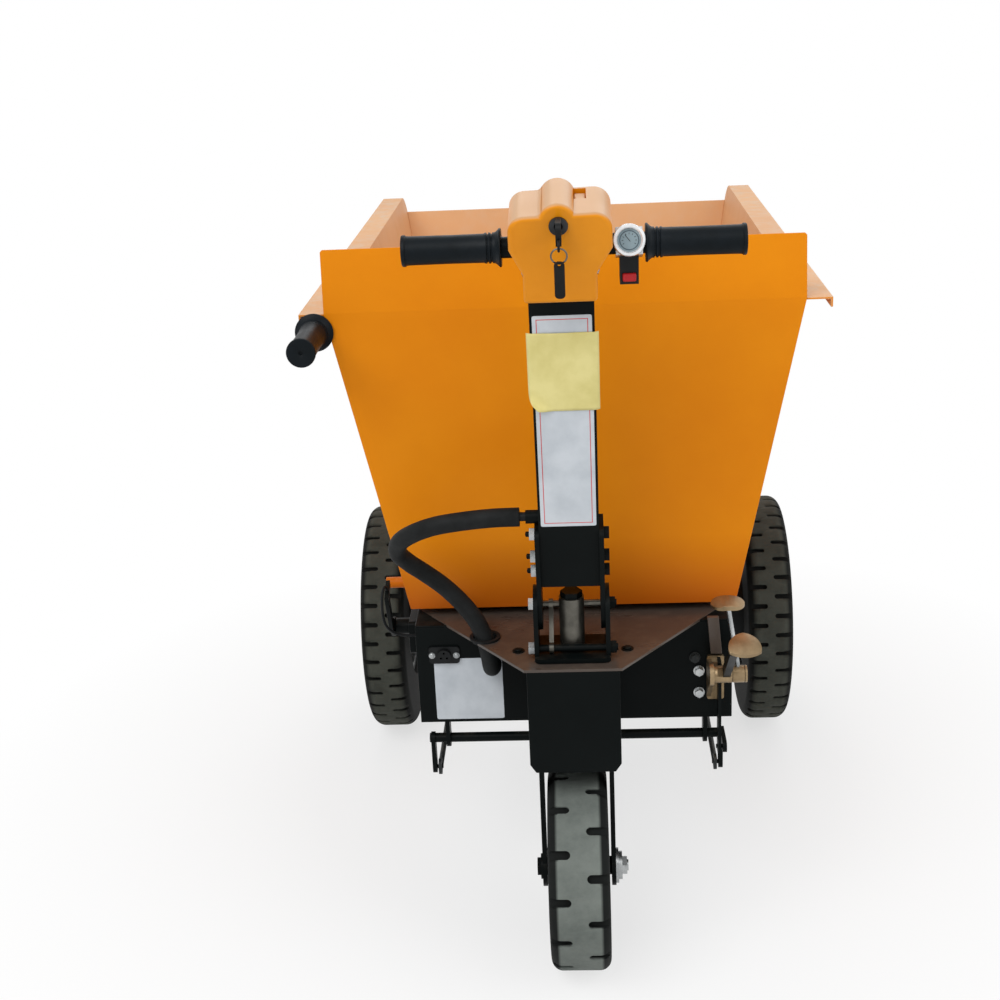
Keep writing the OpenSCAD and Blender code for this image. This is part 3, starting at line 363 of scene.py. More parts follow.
def bolt_heads(name, places, facings, finish, body, head, washer, sides):
    """Bolt or screw heads of one kind on one body; head and washer are radius and height."""
    points = bpy.data.meshes.new(name)
    points.from_pydata([Vector(p) for p in places], [], [])
    way = points.attributes.new("facing", "FLOAT_VECTOR", "POINT")
    for item, direction in zip(way.data, facings):
        item.vector = direction
    piece = bpy.data.objects.new(name, points)
    bpy.context.scene.collection.objects.link(piece)
    setter = piece.modifiers.new("heads", "NODES")
    setter.node_group = BOLT_TREE
    values = {"Head radius": head[0], "Head height": head[1], "Washer radius": washer[0],
              "Washer height": washer[1], "Head sides": sides, "Finish": finish}
    for item in BOLT_TREE.interface.items_tree:
        if item.in_out == "INPUT" and item.name in values:
            setter[item.identifier] = values[item.name]
    made = bpy.data.meshes.new_from_object(piece.evaluated_get(bpy.context.evaluated_depsgraph_get()))
    piece.modifiers.clear()
    piece.data = made
    made.set_sharp_from_angle(angle=radians(35))
    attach(piece, body)


deck_screws = [(side * DECK_SCREW_X, DECK_SCREW_Y, DECK_TOP_Z) for side in (-1, 1)]
bolt_heads("deck_screws", deck_screws, [UP, UP], box_black, "chassis",
           head=(0.0062, 0.0028), washer=(0.0085, 0.001), sides=12)

# Charge socket and the sticker under it
# A moulded socket, held by two bright screws on the front of the box.
# Below it a square of white film is stuck on the paint.
SOCKET_X, SOCKET_Z, SOCKET_SCREW_X, SOCKET_T = -0.185, 0.439, 0.0175, 0.004
BOX_STICKER, BOX_STICKER_X, BOX_STICKER_Z = (0.098, 0.097), -0.152, 0.3835
FILM_T = 0.00025
BACK = Vector((0, -1, 0))


def moulded(name, dark, light, rough, texture, depth, shine=0.3, film=None):
    """Moulded plastic or hard rubber: a fine spark texture and rubbed patches.

    Film is a colour and its share on the faces that look up, for a pale painted reflection of the light
    from above and dust."""
    material, tree, shader, place = start_finish(name)
    rubbed = grain(tree, place, 14.0, 6.0, 0.6)
    colour = shades(tree, rubbed, [(0.3, dark), (0.74, light)])
    if film:
        # A pale film on the faces that look up: a painted reflection of the light from above, and dust.
        sheen_and_dust_colour, sheen_and_dust_share = film
        colour = laid_over(tree, level(tree, upward(tree), 0.3, 0.8, 0.0, sheen_and_dust_share), colour, sheen_and_dust_colour)
    tree.links.new(colour, shader.inputs["Base Color"])
    tree.links.new(level(tree, rubbed, 0.3, 0.75, rough + 0.08, rough - 0.06), shader.inputs["Roughness"])
    relief(tree, shader, grain(tree, place, texture, 3.0), 0.14, depth)
    shader.inputs["Specular IOR Level"].default_value = shine
    return material


def bare_metal(name, dark, light, rough, tint=None):
    """Bare or plated steel: drawn lines, stains and uneven polish."""
    material, tree, shader, place = start_finish(name)
    stains = grain(tree, place, 26.0, 7.0, 0.62)
    stops = [(0.28, dark), (0.7, light)]
    if tint:
        stops.append((0.9, tint))
    tree.links.new(shades(tree, stains, stops), shader.inputs["Base Color"])
    lines = grain(tree, stretched(tree, place, (220.0, 40.0, 40.0)), 1.0, 3.0)
    tree.links.new(level(tree, lines, 0.25, 0.8, rough - 0.07, rough + 0.14), shader.inputs["Roughness"])
    shader.inputs["Metallic"].default_value = 0.92
    relief(tree, shader, lines, 0.04, 0.0003)
    return material


def printed(name, dark, light, rough):
    """Printed film: faint smudges and a slight ripple of the glue under it."""
    material, tree, shader, place = start_finish(name)
    smudge = grain(tree, place, 22.0, 5.0)
    tree.links.new(shades(tree, smudge, [(0.32, dark), (0.62, light)]), shader.inputs["Base Color"])
    tree.links.new(level(tree, smudge, 0.3, 0.7, rough + 0.1, rough), shader.inputs["Roughness"])
    relief(tree, shader, grain(tree, place, 60.0, 2.0), 0.05, 0.0004)
    return material


def flat_place(x, y, z):
    """A flat place that faces the operator, with its own X to the right and its own Y up."""
    return Matrix(((1, 0, 0, x), (0, 0, -1, y), (0, 1, 0, z), (0, 0, 0, 1)))


def sticker(name, size, plain, place, body, corner, border=None, inset=0.0, line=0.0):
    """A film sticker on a flat place: round corners, and a printed frame line if it has one."""
    def outline(back):
        half_w, half_h, r = size[0] / 2 - back, size[1] / 2 - back, max(corner - back, 0.0004)
        points = []
        for cx, cy, start in ((1, 1, 0), (-1, 1, 90), (-1, -1, 180), (1, -1, 270)):
            for k in range(6):
                a = radians(start + 18 * k)
                points.append(((half_w - r) * cx + r * cos(a), (half_h - r) * cy + r * sin(a)))
        return points

    loops = [(outline(0.0), 0.0), (outline(0.0), FILM_T)]
    if border:
        loops += [(outline(inset), FILM_T), (outline(inset + line), FILM_T)]
    shape = bmesh.new()
    rings = [[shape.verts.new(place @ Vector((x, y, z))) for x, y in points] for points, z in loops]
    count = len(rings[0])
    for step, (lower, upper) in enumerate(zip(rings, rings[1:])):
        for k in range(count):
            n = (k + 1) % count
            face = shape.faces.new((lower[k], lower[n], upper[n], upper[k]))
            face.material_index = 1 if border and step == 2 else 0
    shape.faces.new(rings[-1])
    shape.faces.new(list(reversed(rings[0])))
    piece = in_scene(name, shape, *([plain, border] if border else [plain]))
    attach(piece, body)


black_plastic = moulded("black_plastic", ink(10, 12, 13), ink(22, 24, 25), rough=0.42, texture=900.0,
                        depth=0.0004, shine=0.18)
finished("charge_socket", black_plastic, edge=0.0008)
bright_steel = bare_metal("bright_steel", ink(128, 132, 134), ink(206, 208, 208), rough=0.26)
socket_screws = [(SOCKET_X + side * SOCKET_SCREW_X, BOX_FACE_Y - SOCKET_T, SOCKET_Z) for side in (-1, 1)]
bolt_heads("socket_screws", socket_screws, [BACK, BACK], bright_steel, "chassis",
           head=(0.0042, 0.0018), washer=(0.0046, 0.0004), sides=16)
# The white film is painted grey-blue and darker than clean film: partly its own tone, partly painted shade.
white_film_shaded = printed("white_film_shaded", ink(180, 187, 194), ink(199, 205, 211), rough=0.3)
box_front = flat_place(BOX_STICKER_X, BOX_FACE_Y, BOX_STICKER_Z)
sticker("box_sticker", BOX_STICKER, white_film_shaded, box_front, "chassis", corner=0.003)

# Batteries and controller
# Sealed batteries and a finned motor controller inside the closed box.
# Nobody sees them, so they keep the plain shape of the frame.


def dress(node, material):
    """A finish on a piece of the frame that keeps its own shape."""
    piece = frame["nodes"][node]
    piece.data.materials.clear()
    piece.data.materials.append(material)


battery_case = moulded("battery_case", ink(38, 43, 50), ink(52, 57, 64), rough=0.5, texture=700.0,
                       depth=0.0005)
dress("battery_pack", battery_case)
motor_alloy = bare_metal("motor_alloy", ink(74, 80, 84), ink(120, 126, 130), rough=0.46)
dress("motor_controller", motor_alloy)

# Drive axle, motor and drum brakes
# Cast and turned iron in thin black paint, a finned motor on the casing,
# and a drum brake with a pressed backing plate inside each wheel.
cast_iron = painted("cast_iron", ink(26, 29, 30), ink(46, 49, 49), rough=0.55, dust=ink(118, 106, 88),
                    dust_share=0.5, shine=0.25, orange_peel=0.22)
for node in ("axle_housing", "drum_brakes", "brake_levers", "brake_rods", "left_hub_drum",
             "right_hub_drum"):
    finished(node, cast_iron)
finished("drive_motor", motor_alloy)
for node in ("steering_bearings", "front_bearings"):
    finished(node, bright_steel)

# Load wheels and the steered front wheel
# Rubber tyres with staggered side slots, dusty on the tread and darker in the slots.
# The rims are pressed steel in grey paint. Each wheel stands on the floor, so the height
# of its axle is its radius.
JOINT_AT = {joint["name"]: Vector(joint["pos_m"]) for joint in behaviour["joints"] if "pos_m" in joint}
FRONT_AXLE, LOAD_AXLE = JOINT_AT["front_wheel_spin"], JOINT_AT["right_wheel_spin"]
FRONT_TREAD_HALF, LOAD_TREAD_HALF = 0.028, 0.036


def tyre_rubber(name, axle, tread_half, walls, tread):
    """Tyre rubber: pale where the tread meets the ground, dark in the slots and on the walls.

    Walls and tread are each a dark and a light colour."""
    material, tree, shader, place = start_finish(name)
    centred = tree.nodes.new("ShaderNodeMapping")
    centred.inputs["Location"].default_value = (0.0, -axle.y, -axle.z)
    centred.inputs["Scale"].default_value = (0.0, 1.0, 1.0)
    tree.links.new(place, centred.inputs["Vector"])
    reach = tree.nodes.new("ShaderNodeVectorMath")
    reach.operation = "LENGTH"
    tree.links.new(centred.outputs["Vector"], reach.inputs[0])
    outside = level(tree, reach.outputs["Value"], axle.z - 0.0045, axle.z - 0.0008)
    off_buggy = worked_out(tree, "ABSOLUTE", along(tree, place, "X"))
    off_wheel = worked_out(tree, "ABSOLUTE", worked_out(tree, "SUBTRACT", off_buggy, axle.x))
    on_tread = level(tree, off_wheel, tread_half, tread_half + 0.004, 1.0, 0.0)
    worn = worked_out(tree, "MULTIPLY", outside, on_tread)
    patches = grain(tree, place, 19.0, 8.0, 0.66)
    wall_colour = shades(tree, patches, [(0.3, walls[0]), (0.74, walls[1])])
    tread_colour = shades(tree, patches, [(0.3, tread[0]), (0.7, tread[1])])
    tree.links.new(laid_over(tree, worn, wall_colour, tread_colour), shader.inputs["Base Color"])
    shader.inputs["Roughness"].default_value = 0.78
    shader.inputs["Specular IOR Level"].default_value = 0.12
    relief(tree, shader, grain(tree, place, 260.0, 6.0, 0.7), 0.3, 0.0009)
    return material


front_rubber = tyre_rubber("front_rubber", FRONT_AXLE, FRONT_TREAD_HALF,
                           walls=(ink(16, 18, 18), ink(28, 30, 29)),
                           tread=(ink(94, 100, 96), ink(120, 126, 121)))
load_rubber = tyre_rubber("load_rubber", LOAD_AXLE, LOAD_TREAD_HALF,
                          walls=(ink(14, 15, 14), ink(26, 27, 25)),
                          tread=(ink(58, 60, 54), ink(78, 80, 73)))
finished("front_tyre", front_rubber, sharp=40)
for node in ("left_tyre", "right_tyre"):
    finished(node, load_rubber, sharp=40)
rim_paint = painted("rim_paint", ink(92, 95, 95), ink(118, 120, 119), rough=0.4, dust=ink(110, 100, 86),
                    dust_share=0.5, shine=0.3)
for node in ("front_rim", "left_rim", "right_rim"):
    finished(node, rim_paint)

# Fork and front axle
# Welded plate fork in black paint with a bare stem. The axle bolt with its washers and nut
# is zinc plated, and its left end is painted with the fork.
STEM_R, STEM_FROM_Z = 0.0185, 0.36
AXLE_PAINT_X = -0.05
fork = finished("fork", box_black)
dull_steel = bare_metal("dull_steel", ink(66, 65, 60), ink(118, 115, 107), rough=0.38)
patch(fork, dull_steel, lambda at, facing: at.z > STEM_FROM_Z and (at - FRONT_AXLE).xy.length < STEM_R)
front_axle = finished("front_axle", bright_steel)
patch(front_axle, box_black, lambda at, facing: at.x < AXLE_PAINT_X)

# Steering column
# A rectangular tube between two flat straps, bolted to the bracket on the stem.
# A long sticker of white film with a thin red frame covers most of its front.
TILT, COLUMN_FOOT_Z, COLUMN_FRONT = radians(12.6), 0.570, -0.0202
column_frame = Matrix.Translation((0, FRONT_AXLE.y, COLUMN_FOOT_Z)) @ Matrix.Rotation(TILT, 4, "X")
RIGHT_STRAP_X, BOLT_MIDDLE_X = 0.044, 0.02
LOWER_BOLT_TOP_Z, UPPER_BOLT_Z, STRAP_BOLTS_Z = 0.506, (0.53, 0.555), 0.56
STAY_X = (-0.032, -0.024)
STUD_X, STUD_Y, STUD_RISES = -0.052, -0.008, (0.043, 0.066, 0.101)
COLUMN_STICKER, COLUMN_STICKER_RISE = (0.0715, 0.299), 0.2695
RED_LINE_INSET, RED_LINE = 0.0046, 0.0011
LEFT, RIGHT = Vector((-1, 0, 0)), Vector((1, 0, 0))


def black_bolts(at, facing):
    """The right ends, the middles of the strap bolts, and the lower long bolt."""
    strap_bolt = abs(at.x) < BOLT_MIDDLE_X and at.z > STRAP_BOLTS_Z
    lower_bolt = -BOLT_MIDDLE_X < at.x < RIGHT_STRAP_X and at.z < LOWER_BOLT_TOP_Z
    return at.x > RIGHT_STRAP_X or strap_bolt or lower_bolt


def dull_bolts(at, facing):
    """The stay between the two long bolts, and the middle of the upper one."""
    upper_bolt = abs(at.x) < BOLT_MIDDLE_X and UPPER_BOLT_Z[0] < at.z < UPPER_BOLT_Z[1]
    return STAY_X[0] < at.x < STAY_X[1] or upper_bolt


finished("stem_bracket", box_black)
for node in ("column_straps", "column"):
    finished(node, box_black, edge=0.001)
steering_bolts = finished("steering_bolts", bright_steel)
patch(steering_bolts, box_black, black_bolts)
patch(steering_bolts, dull_steel, dull_bolts)
stud_ends = [column_frame @ Vector((STUD_X, STUD_Y, rise)) for rise in STUD_RISES]
bolt_heads("stud_ends", stud_ends, [LEFT] * len(stud_ends), box_black, "steering",
           head=(0.0036, 0.0045), washer=(0.0037, 0.0002), sides=14)
red_print = printed("red_print", ink(182, 58, 62), ink(200, 72, 74), rough=0.34)
column_front = column_frame @ flat_place(0.0, COLUMN_FRONT, COLUMN_STICKER_RISE)
sticker("column_sticker", COLUMN_STICKER, white_film_shaded, column_front, "steering",
        corner=0.0025, border=red_print, inset=RED_LINE_INSET, line=RED_LINE)

# Paper note on the column
# A square of thin yellow paper held by its own glue, with the lower left corner curled up.
# It is a little wider than the column, so its sides hang back.
PAPER_W, PAPER_H, PAPER_T, PAPER_STEPS = 0.087, 0.106, 0.0003, 28
PAPER_RISE, PAPER_GLUED_HALF, PAPER_GAP = 0.3435, 0.0385, 0.0009
CURL_R, CURL_TURN, CURL_FROM, CURL_RUN = 0.010, 2.6, 0.30, 0.072


def paper_point(u, v):
    """A point of the note in the column's own frame, for shares of its width and height."""
    x, z = (u - 0.5) * PAPER_W, (v - 0.5) * PAPER_H
    overhang = max(0.0, abs(x) - PAPER_GLUED_HALF)
    out = PAPER_GAP + 0.0006 * sin(9 * u + 4 * v) * v - 0.5 * overhang
    bend = max(0.0, CURL_FROM - (u * 0.8 + v)) * CURL_RUN
    angle = min(bend / CURL_R, CURL_TURN)
    out += CURL_R * (1 - cos(angle))
    pull = bend - CURL_R * sin(angle)
    return Vector((x + pull * 0.62, COLUMN_FRONT - 0.0003 - out, PAPER_RISE + z + pull * 0.78))


paper_yellow = printed("paper_yellow", ink(206, 194, 122), ink(222, 211, 142), rough=0.7)
shape = bmesh.new()
shares = [k / PAPER_STEPS for k in range(PAPER_STEPS + 1)]
rows = [[shape.verts.new(column_frame @ paper_point(u, v)) for u in shares] for v in shares]
for lower, upper in zip(rows, rows[1:]):
    for k in range(PAPER_STEPS):
        shape.faces.new((lower[k], lower[k + 1], upper[k + 1], upper[k]))
paper = in_scene("paper_note", shape, paper_yellow)
for face in paper.data.polygons:
    face.use_smooth = True
thick = paper.modifiers.new("paper", "SOLIDIFY")
thick.thickness = PAPER_T
thick.offset = 1.0
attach(paper, "steering")

# Conduit hose
# A soft foam rubber sleeve over the control wires. It leaves the left of the column,
# loops out over the deck and goes down through the deck into the box.
# The routes are in millimetres.
HOSE = [(-64, -518, 690), (-100, -517, 689), (-140, -513, 684), (-176, -506, 676), (-206, -494, 662),
        (-228, -474, 642), (-234, -452, 618), (-222, -437, 597), (-200, -430, 577), (-176, -428, 556),
        (-153, -432, 533), (-134, -439, 509), (-122, -446, 483), (-117, -446, 457), (-116, -434, 436),
        (-116, -415, 425), (-116, -398, 422), (-116, -384, 422)]
HOSE_D, HOSE_BORE, HOSE_MOUTH, HOSE_STEPS, HOSE_STILL = 0.025, 0.013, 0.02, 8, 7
LOOM = [(-50, -518, 690), (-60, -518, 690.4), (-72, -518, 690.2), (-83, -518, 689.8)]
LOOM_R = 0.006


def smooth_route(points, steps):
    """A smooth line through points listed in millimetres, given in metres."""
    knots = [Vector(p) / 1000 for p in points]
    line = []
    for i in range(len(knots) - 1):
        a, b = knots[max(i - 1, 0)], knots[i]
        c, d = knots[i + 1], knots[min(i + 2, len(knots) - 1)]
        for k in range(steps):
            t = k / steps
            line.append(0.5 * (2 * b + (c - a) * t + (2 * a - 5 * b + 4 * c - d) * t * t
                               + (3 * b - 3 * c + d - a) * t * t * t))
    return line + [knots[-1]]


def tube(name, line, radius, finish, sides, bore=0.0, bore_depth=0.0):
    """A closed tube along a line; with a bore, its first end is open to a given depth."""
    count = len(line)
    ways = [(line[min(i + 1, count - 1)] - line[max(i - 1, 0)]).normalized() for i in range(count)]
    across = ways[0].orthogonal().normalized()
    shape = bmesh.new()

    def ring(centre, way, side, r):
        other = way.cross(side)
        angles = [2 * pi * k / sides for k in range(sides)]
        return [shape.verts.new(centre + r * (cos(a) * side + sin(a) * other)) for a in angles]

    def wall(a, b):
        for k in range(sides):
            n = (k + 1) % sides
            shape.faces.new((a[k], a[n], b[n], b[k]))

    rings, first_across = [], across
    for centre, way in zip(line, ways):
        across = (across - across.dot(way) * way).normalized()
        rings.append(ring(centre, way, across, radius))
    for a, b in zip(rings, rings[1:]):
        wall(a, b)
    shape.faces.new(rings[-1])
    if bore:
        mouth = ring(line[0], ways[0], first_across, bore / 2)
        bottom = ring(line[0] + ways[0] * bore_depth, ways[0], first_across, bore / 2)
        wall(mouth, rings[0])
        wall(bottom, mouth)
        shape.faces.new(list(reversed(bottom)))
    else:
        shape.faces.new(list(reversed(rings[0])))
    bmesh.ops.recalc_face_normals(shape, faces=shape.faces)
    piece = in_scene(name, shape, finish)
    smoothed(piece, 50)
    return piece


def soft_rubber(name, dark, light, rough, texture, gloss=0.16):
    """Foam or soft rubber: dull, with fine pores and pale rub marks."""
    material, tree, shader, place = start_finish(name)
    marks = grain(tree, place, 30.0, 8.0, 0.65)
    tree.links.new(shades(tree, marks, [(0.34, dark), (0.76, light)]), shader.inputs["Base Color"])
    tree.links.new(level(tree, marks, 0.3, 0.8, rough + 0.08, rough - 0.08), shader.inputs["Roughness"])
    shader.inputs["Specular IOR Level"].default_value = gloss
    relief(tree, shader, grain(tree, place, texture, 5.0, 0.7), 0.25, 0.0006)
    return material


foam_black = soft_rubber("foam_black", ink(13, 15, 15), ink(28, 30, 31), rough=0.66, texture=480.0)
hose_line = smooth_route(HOSE, HOSE_STEPS)
hose = tube("conduit_sleeve", hose_line, HOSE_D / 2, foam_black, sides=28, bore=HOSE_BORE,
            bore_depth=HOSE_MOUTH)
loom = tube("wire_loom", smooth_route(LOOM, steps=6), LOOM_R, black_plastic, sides=18)
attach(loom, "steering")
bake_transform(hose)
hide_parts("conduit_hose")
black_rubber = soft_rubber("black_rubber", ink(12, 14, 15), ink(26, 28, 29), rough=0.6, texture=700.0)
finished("hose_grommet", black_rubber)
finished("rest_pads", black_rubber, edge=0.002)

# Head cover, key lock and selector
# A moulded orange cover with three round lobes closes the top of the column.
# The lock with its key and fob sits in the middle lobe, the slide switch beside it.
# Heights here are along the column.
LOCK_RISE, LOCK_HOLE_R, COVER_FRONT, COVER_BACK, COVER_FOOT = 0.544, 0.0125, -0.050, 0.038, 0.447
FOB_RING_RISE = 0.5168
COVER_SIDE, COVER_SCREW_RISE = 0.0432, 0.468
on_column = column_frame.inverted()
# The faces of the cover that look up get a pale film: a painted reflection of the light from above, and
# dust.
orange_plastic = moulded("orange_plastic", ink(212, 130, 10), ink(224, 142, 18), rough=0.34, texture=1100.0,
                         depth=0.0003, shine=0.22, film=(ink(196, 166, 134), 0.72))


def on_cover_rim(at):
    """Whether a point lies on the outline of the cover's front or back."""
    near = on_column @ at
    flush = min(abs(near.y - COVER_FRONT), abs(near.y - COVER_BACK)) < 0.0003
    clear_of_lock = Vector((near.x, near.z - LOCK_RISE)).length > LOCK_HOLE_R
    return flush and clear_of_lock and near.z > COVER_FOOT


finished("head_cover", orange_plastic, edge=0.005, steps=5, only=on_cover_rim)
finished("selector_switch", orange_plastic, edge=0.0022, steps=3)
lock_chrome = bare_metal("lock_chrome", ink(34, 36, 38), ink(66, 68, 70), rough=0.3)
finished("lock_cylinder", lock_chrome, edge=0.0006)
finished("ignition_key", black_plastic, edge=0.0016, steps=3)
fob = finished("key_fob", black_rubber)
patch(fob, dull_steel, lambda at, facing: (on_column @ at).z > FOB_RING_RISE)
cover_screws = [column_frame @ Vector((x, 0.0, COVER_SCREW_RISE)) for x in (-COVER_SIDE, COVER_SIDE)]
bolt_heads("cover_screws", cover_screws, [LEFT, RIGHT], bright_steel, "steering",
           head=(0.0042, 0.0022), washer=(0.0068, 0.0016), sides=16)

# Handlebar and grips
# A painted steel tube through the column, with a fixed rubber grip on the left
# and the throttle grip, which turns, on the right.
BAR_RISE, BAR_BORE = 0.499, 0.01255
LEFT_GRIP_X, RIGHT_GRIP_X, GRIP_L, GRIP_R, GRIP_LIP = -0.068, 0.100, 0.117, 0.017, 0.0057
COLLAR, GROOVE, END_RING = 0.001, 0.0006, 0.0015
END_WALL, VENT_R = 0.004, 0.0028
grip_rubber = soft_rubber("grip_rubber", ink(3, 9, 13), ink(12, 20, 26), rough=0.44, texture=620.0,
                          gloss=0.13)


def turned(name, profile, place, material, body, sides=64):
    """A closed profile of radius and depth, turned about the Y axis of a place."""
    shape = bmesh.new()
    angles = [2 * pi * k / sides for k in range(sides)]
    hoops = []
    for r, y in profile:
        hoops.append([shape.verts.new(place @ Vector((r * cos(a), y, r * sin(a)))) for a in angles])
    for lower, upper in zip(hoops, hoops[1:] + hoops[:1]):
        for k in range(sides):
            n = (k + 1) % sides
            shape.faces.new((lower[k], lower[n], upper[n], upper[k]))
    bmesh.ops.recalc_face_normals(shape, faces=shape.faces)
    piece = in_scene(name, shape, material)
    smoothed(piece, 40)
    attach(piece, body)
    return piece


def grip(node, length, bore, place, body, r=GRIP_R, lip=GRIP_LIP):
    """A moulded grip: a thin flange, a collar with two grooves and an end ring round a vent."""
    rim, collar, ring, inside = r + lip, r + COLLAR, r + END_RING, length - END_WALL
    profile = [(0.0002, inside), (bore, inside), (bore, 0.0), (rim - 0.0007, 0.0), (rim, 0.0007),
               (rim, 0.0022), (rim - 0.0012, 0.0031), (collar + 0.0008, 0.006), (collar, 0.0078)]
    for middle in (0.0112, 0.0158):
        profile += [(collar, middle - 0.0012), (r - GROOVE, middle - 0.0006), (r - GROOVE, middle + 0.0006),
                    (collar, middle + 0.0012)]
    profile += [(collar, 0.0186), (r, 0.0204), (r - 0.0003, length / 2), (r, length - 0.009),
                (r + 0.0003, length - 0.0052), (ring, length - 0.0042), (ring, length - 0.0012),
                (r + 0.0006, length), (VENT_R + 0.0017, length), (VENT_R, length - 0.001),
                (VENT_R - 0.0002, length - 0.0028), (0.0002, length - 0.0028)]
    piece = turned(node + "_moulded", profile, place, grip_rubber, body)
    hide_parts(node)


def on_bar(x, turn):
    """A place on the handlebar, turned so that its Y runs outward."""
    return column_frame @ Matrix.Translation((x, 0, BAR_RISE)) @ Matrix.Rotation(turn, 4, "Z")


finished("handlebar", box_black)
grip("left_grip", GRIP_L, BAR_BORE, on_bar(LEFT_GRIP_X, pi / 2), "steering")
grip("throttle_grip", GRIP_L, BAR_BORE, on_bar(RIGHT_GRIP_X, -pi / 2), "throttle")

# Gauge and red button
# A cast body clamped on the handlebar, with a round gauge on top and a thumb button below.
# The gauge has a chrome bezel and a plain dial with nine marks and a needle.
GAUGE_X, GAUGE_LEAN, GAUGE_BODY_HALF = 0.0805, radians(-30), 0.0165
BEZEL = [(0.0188, -0.0225), (0.0188, -0.0284), (0.018, -0.0296), (0.0152, -0.0297), (0.0139, -0.0284),
         (0.0139, -0.0252), (0.016, -0.0225)]
DIAL_R, DIAL_DEPTH, DIAL_RING_INSET, DIAL_RING = 0.0137, -0.0251, 0.0021, 0.0013
MARKS, MARK_STEP, MARK_FIRST, MARK_OUT = 9, 30, 120, 0.0078
MARK_SIZE, NEEDLE_SIZE = (0.0006, 0.0021, 0.0001, 1), (0.0007, 0.0098, 0.0002, 1)
NEEDLE_TURN, NEEDLE_OUT = 38, 0.003


def dial_bar(shape, degrees, out, height, size):
    """A thin bar on the dial that points out from its middle."""
    place = Matrix.Rotation(radians(degrees), 4, "Z") @ Matrix.Translation((0, out, height))
    bmesh.ops.create_cube(shape, size=1.0, matrix=on_dial @ place @ Matrix.Diagonal(size))


gauge_alloy = bare_metal("gauge_alloy", ink(150, 152, 154), ink(214, 215, 216), rough=0.32)
gauge = finished("gauge_body", gauge_alloy, edge=0.0008)
patch(gauge, black_plastic, lambda at, facing: (on_column @ at).z < BAR_RISE - GAUGE_BODY_HALF)
gauge_place = on_bar(GAUGE_X, 0.0) @ Matrix.Rotation(GAUGE_LEAN, 4, "X")
chrome = bare_metal("chrome", ink(206, 208, 210), ink(238, 239, 240), rough=0.2)
turned("gauge_bezel", BEZEL, gauge_place, chrome, "steering")
dial_face = printed("dial_face", ink(112, 134, 144), ink(138, 158, 166), rough=0.12)
dial_ring = printed("dial_ring", ink(62, 80, 90), ink(76, 94, 104), rough=0.14)
on_dial = gauge_place @ flat_place(0, DIAL_DEPTH, 0)
sticker("gauge_dial", (2 * DIAL_R, 2 * DIAL_R), dial_face, on_dial, "steering",
        corner=DIAL_R, border=dial_ring, inset=DIAL_RING_INSET, line=DIAL_RING)
shape = bmesh.new()
for k in range(MARKS):
    dial_bar(shape, MARK_FIRST - MARK_STEP * k, MARK_OUT, 0.00028, MARK_SIZE)
dial_bar(shape, NEEDLE_TURN, NEEDLE_OUT, 0.0004, NEEDLE_SIZE)
marks = in_scene("gauge_marks", shape, black_plastic)
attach(marks, "steering")
red_plastic = moulded("red_plastic", ink(150, 14, 20), ink(178, 26, 32), rough=0.34, texture=900.0,
                      depth=0.0003)
finished("red_button", red_plastic, edge=0.0016, steps=3)

# Bucket
# Five sheets of 3 mm steel welded together and sprayed orange, with folded side flanges.
# Dried cement pales the inside and the flanges, and a painted shade darkens and reddens the lower edge.
# Its lugs hang on the hinges at the front of the box.
# Painted shade: the orange turns darker and redder towards the bottom of the bucket.
LOWER_SHADE = (ink(190, 94, 12), 0.50, 0.60)
FLANGE_Z = 0.9
bucket_orange = painted("bucket_orange", ink(218, 126, 8), ink(228, 138, 12), rough=0.42,
                        dust=ink(206, 170, 130), dust_share=0.3, shine=0.1, orange_peel=0.05, lower_shade=LOWER_SHADE)
cement_film = painted("cement_film", ink(218, 164, 116), ink(227, 177, 130), rough=0.5,
                      dust=ink(212, 194, 172), dust_share=0.6, shine=0.15, orange_peel=0.1)
for node in ("bucket_floor", "bucket_front"):
    sheet = finished(node, bucket_orange, edge=0.0008)
    patch(sheet, cement_film, lambda at, facing: facing.y < -0.5 or facing.z > 0.5)
for node, inward in (("bucket_left_side", 1), ("bucket_right_side", -1)):
    sheet = finished(node, bucket_orange, edge=0.0008)
    patch(sheet, cement_film,
          lambda at, facing: facing.z > 0.6 or inward * facing.x > 0.5 or at.z > FLANGE_Z)
rear = finished("bucket_rear", bucket_orange, edge=0.0008, sharp=4.0)
patch(rear, cement_film, lambda at, facing: facing.y > 0.5)
finished("bucket_lugs", bucket_orange, edge=0.0008)

# Tip bar
# A steel bar under the left flange, to heave the bucket over.
# Its rubber grip is a little stouter than those of the handlebar, with a wider flange.
TIP_GRIP_AT, TIP_BORE = (-0.338, -0.366, 0.908), 0.01105
TIP_GRIP_L, TIP_GRIP_R, TIP_LIP = 0.114, 0.0178, 0.0085
finished("tip_bar", bucket_orange)
on_tip_bar = Matrix.Translation(TIP_GRIP_AT) @ Matrix.Rotation(pi, 4, "Z")
grip("tip_grip", TIP_GRIP_L, TIP_BORE, on_tip_bar, "bucket", TIP_GRIP_R, TIP_LIP)

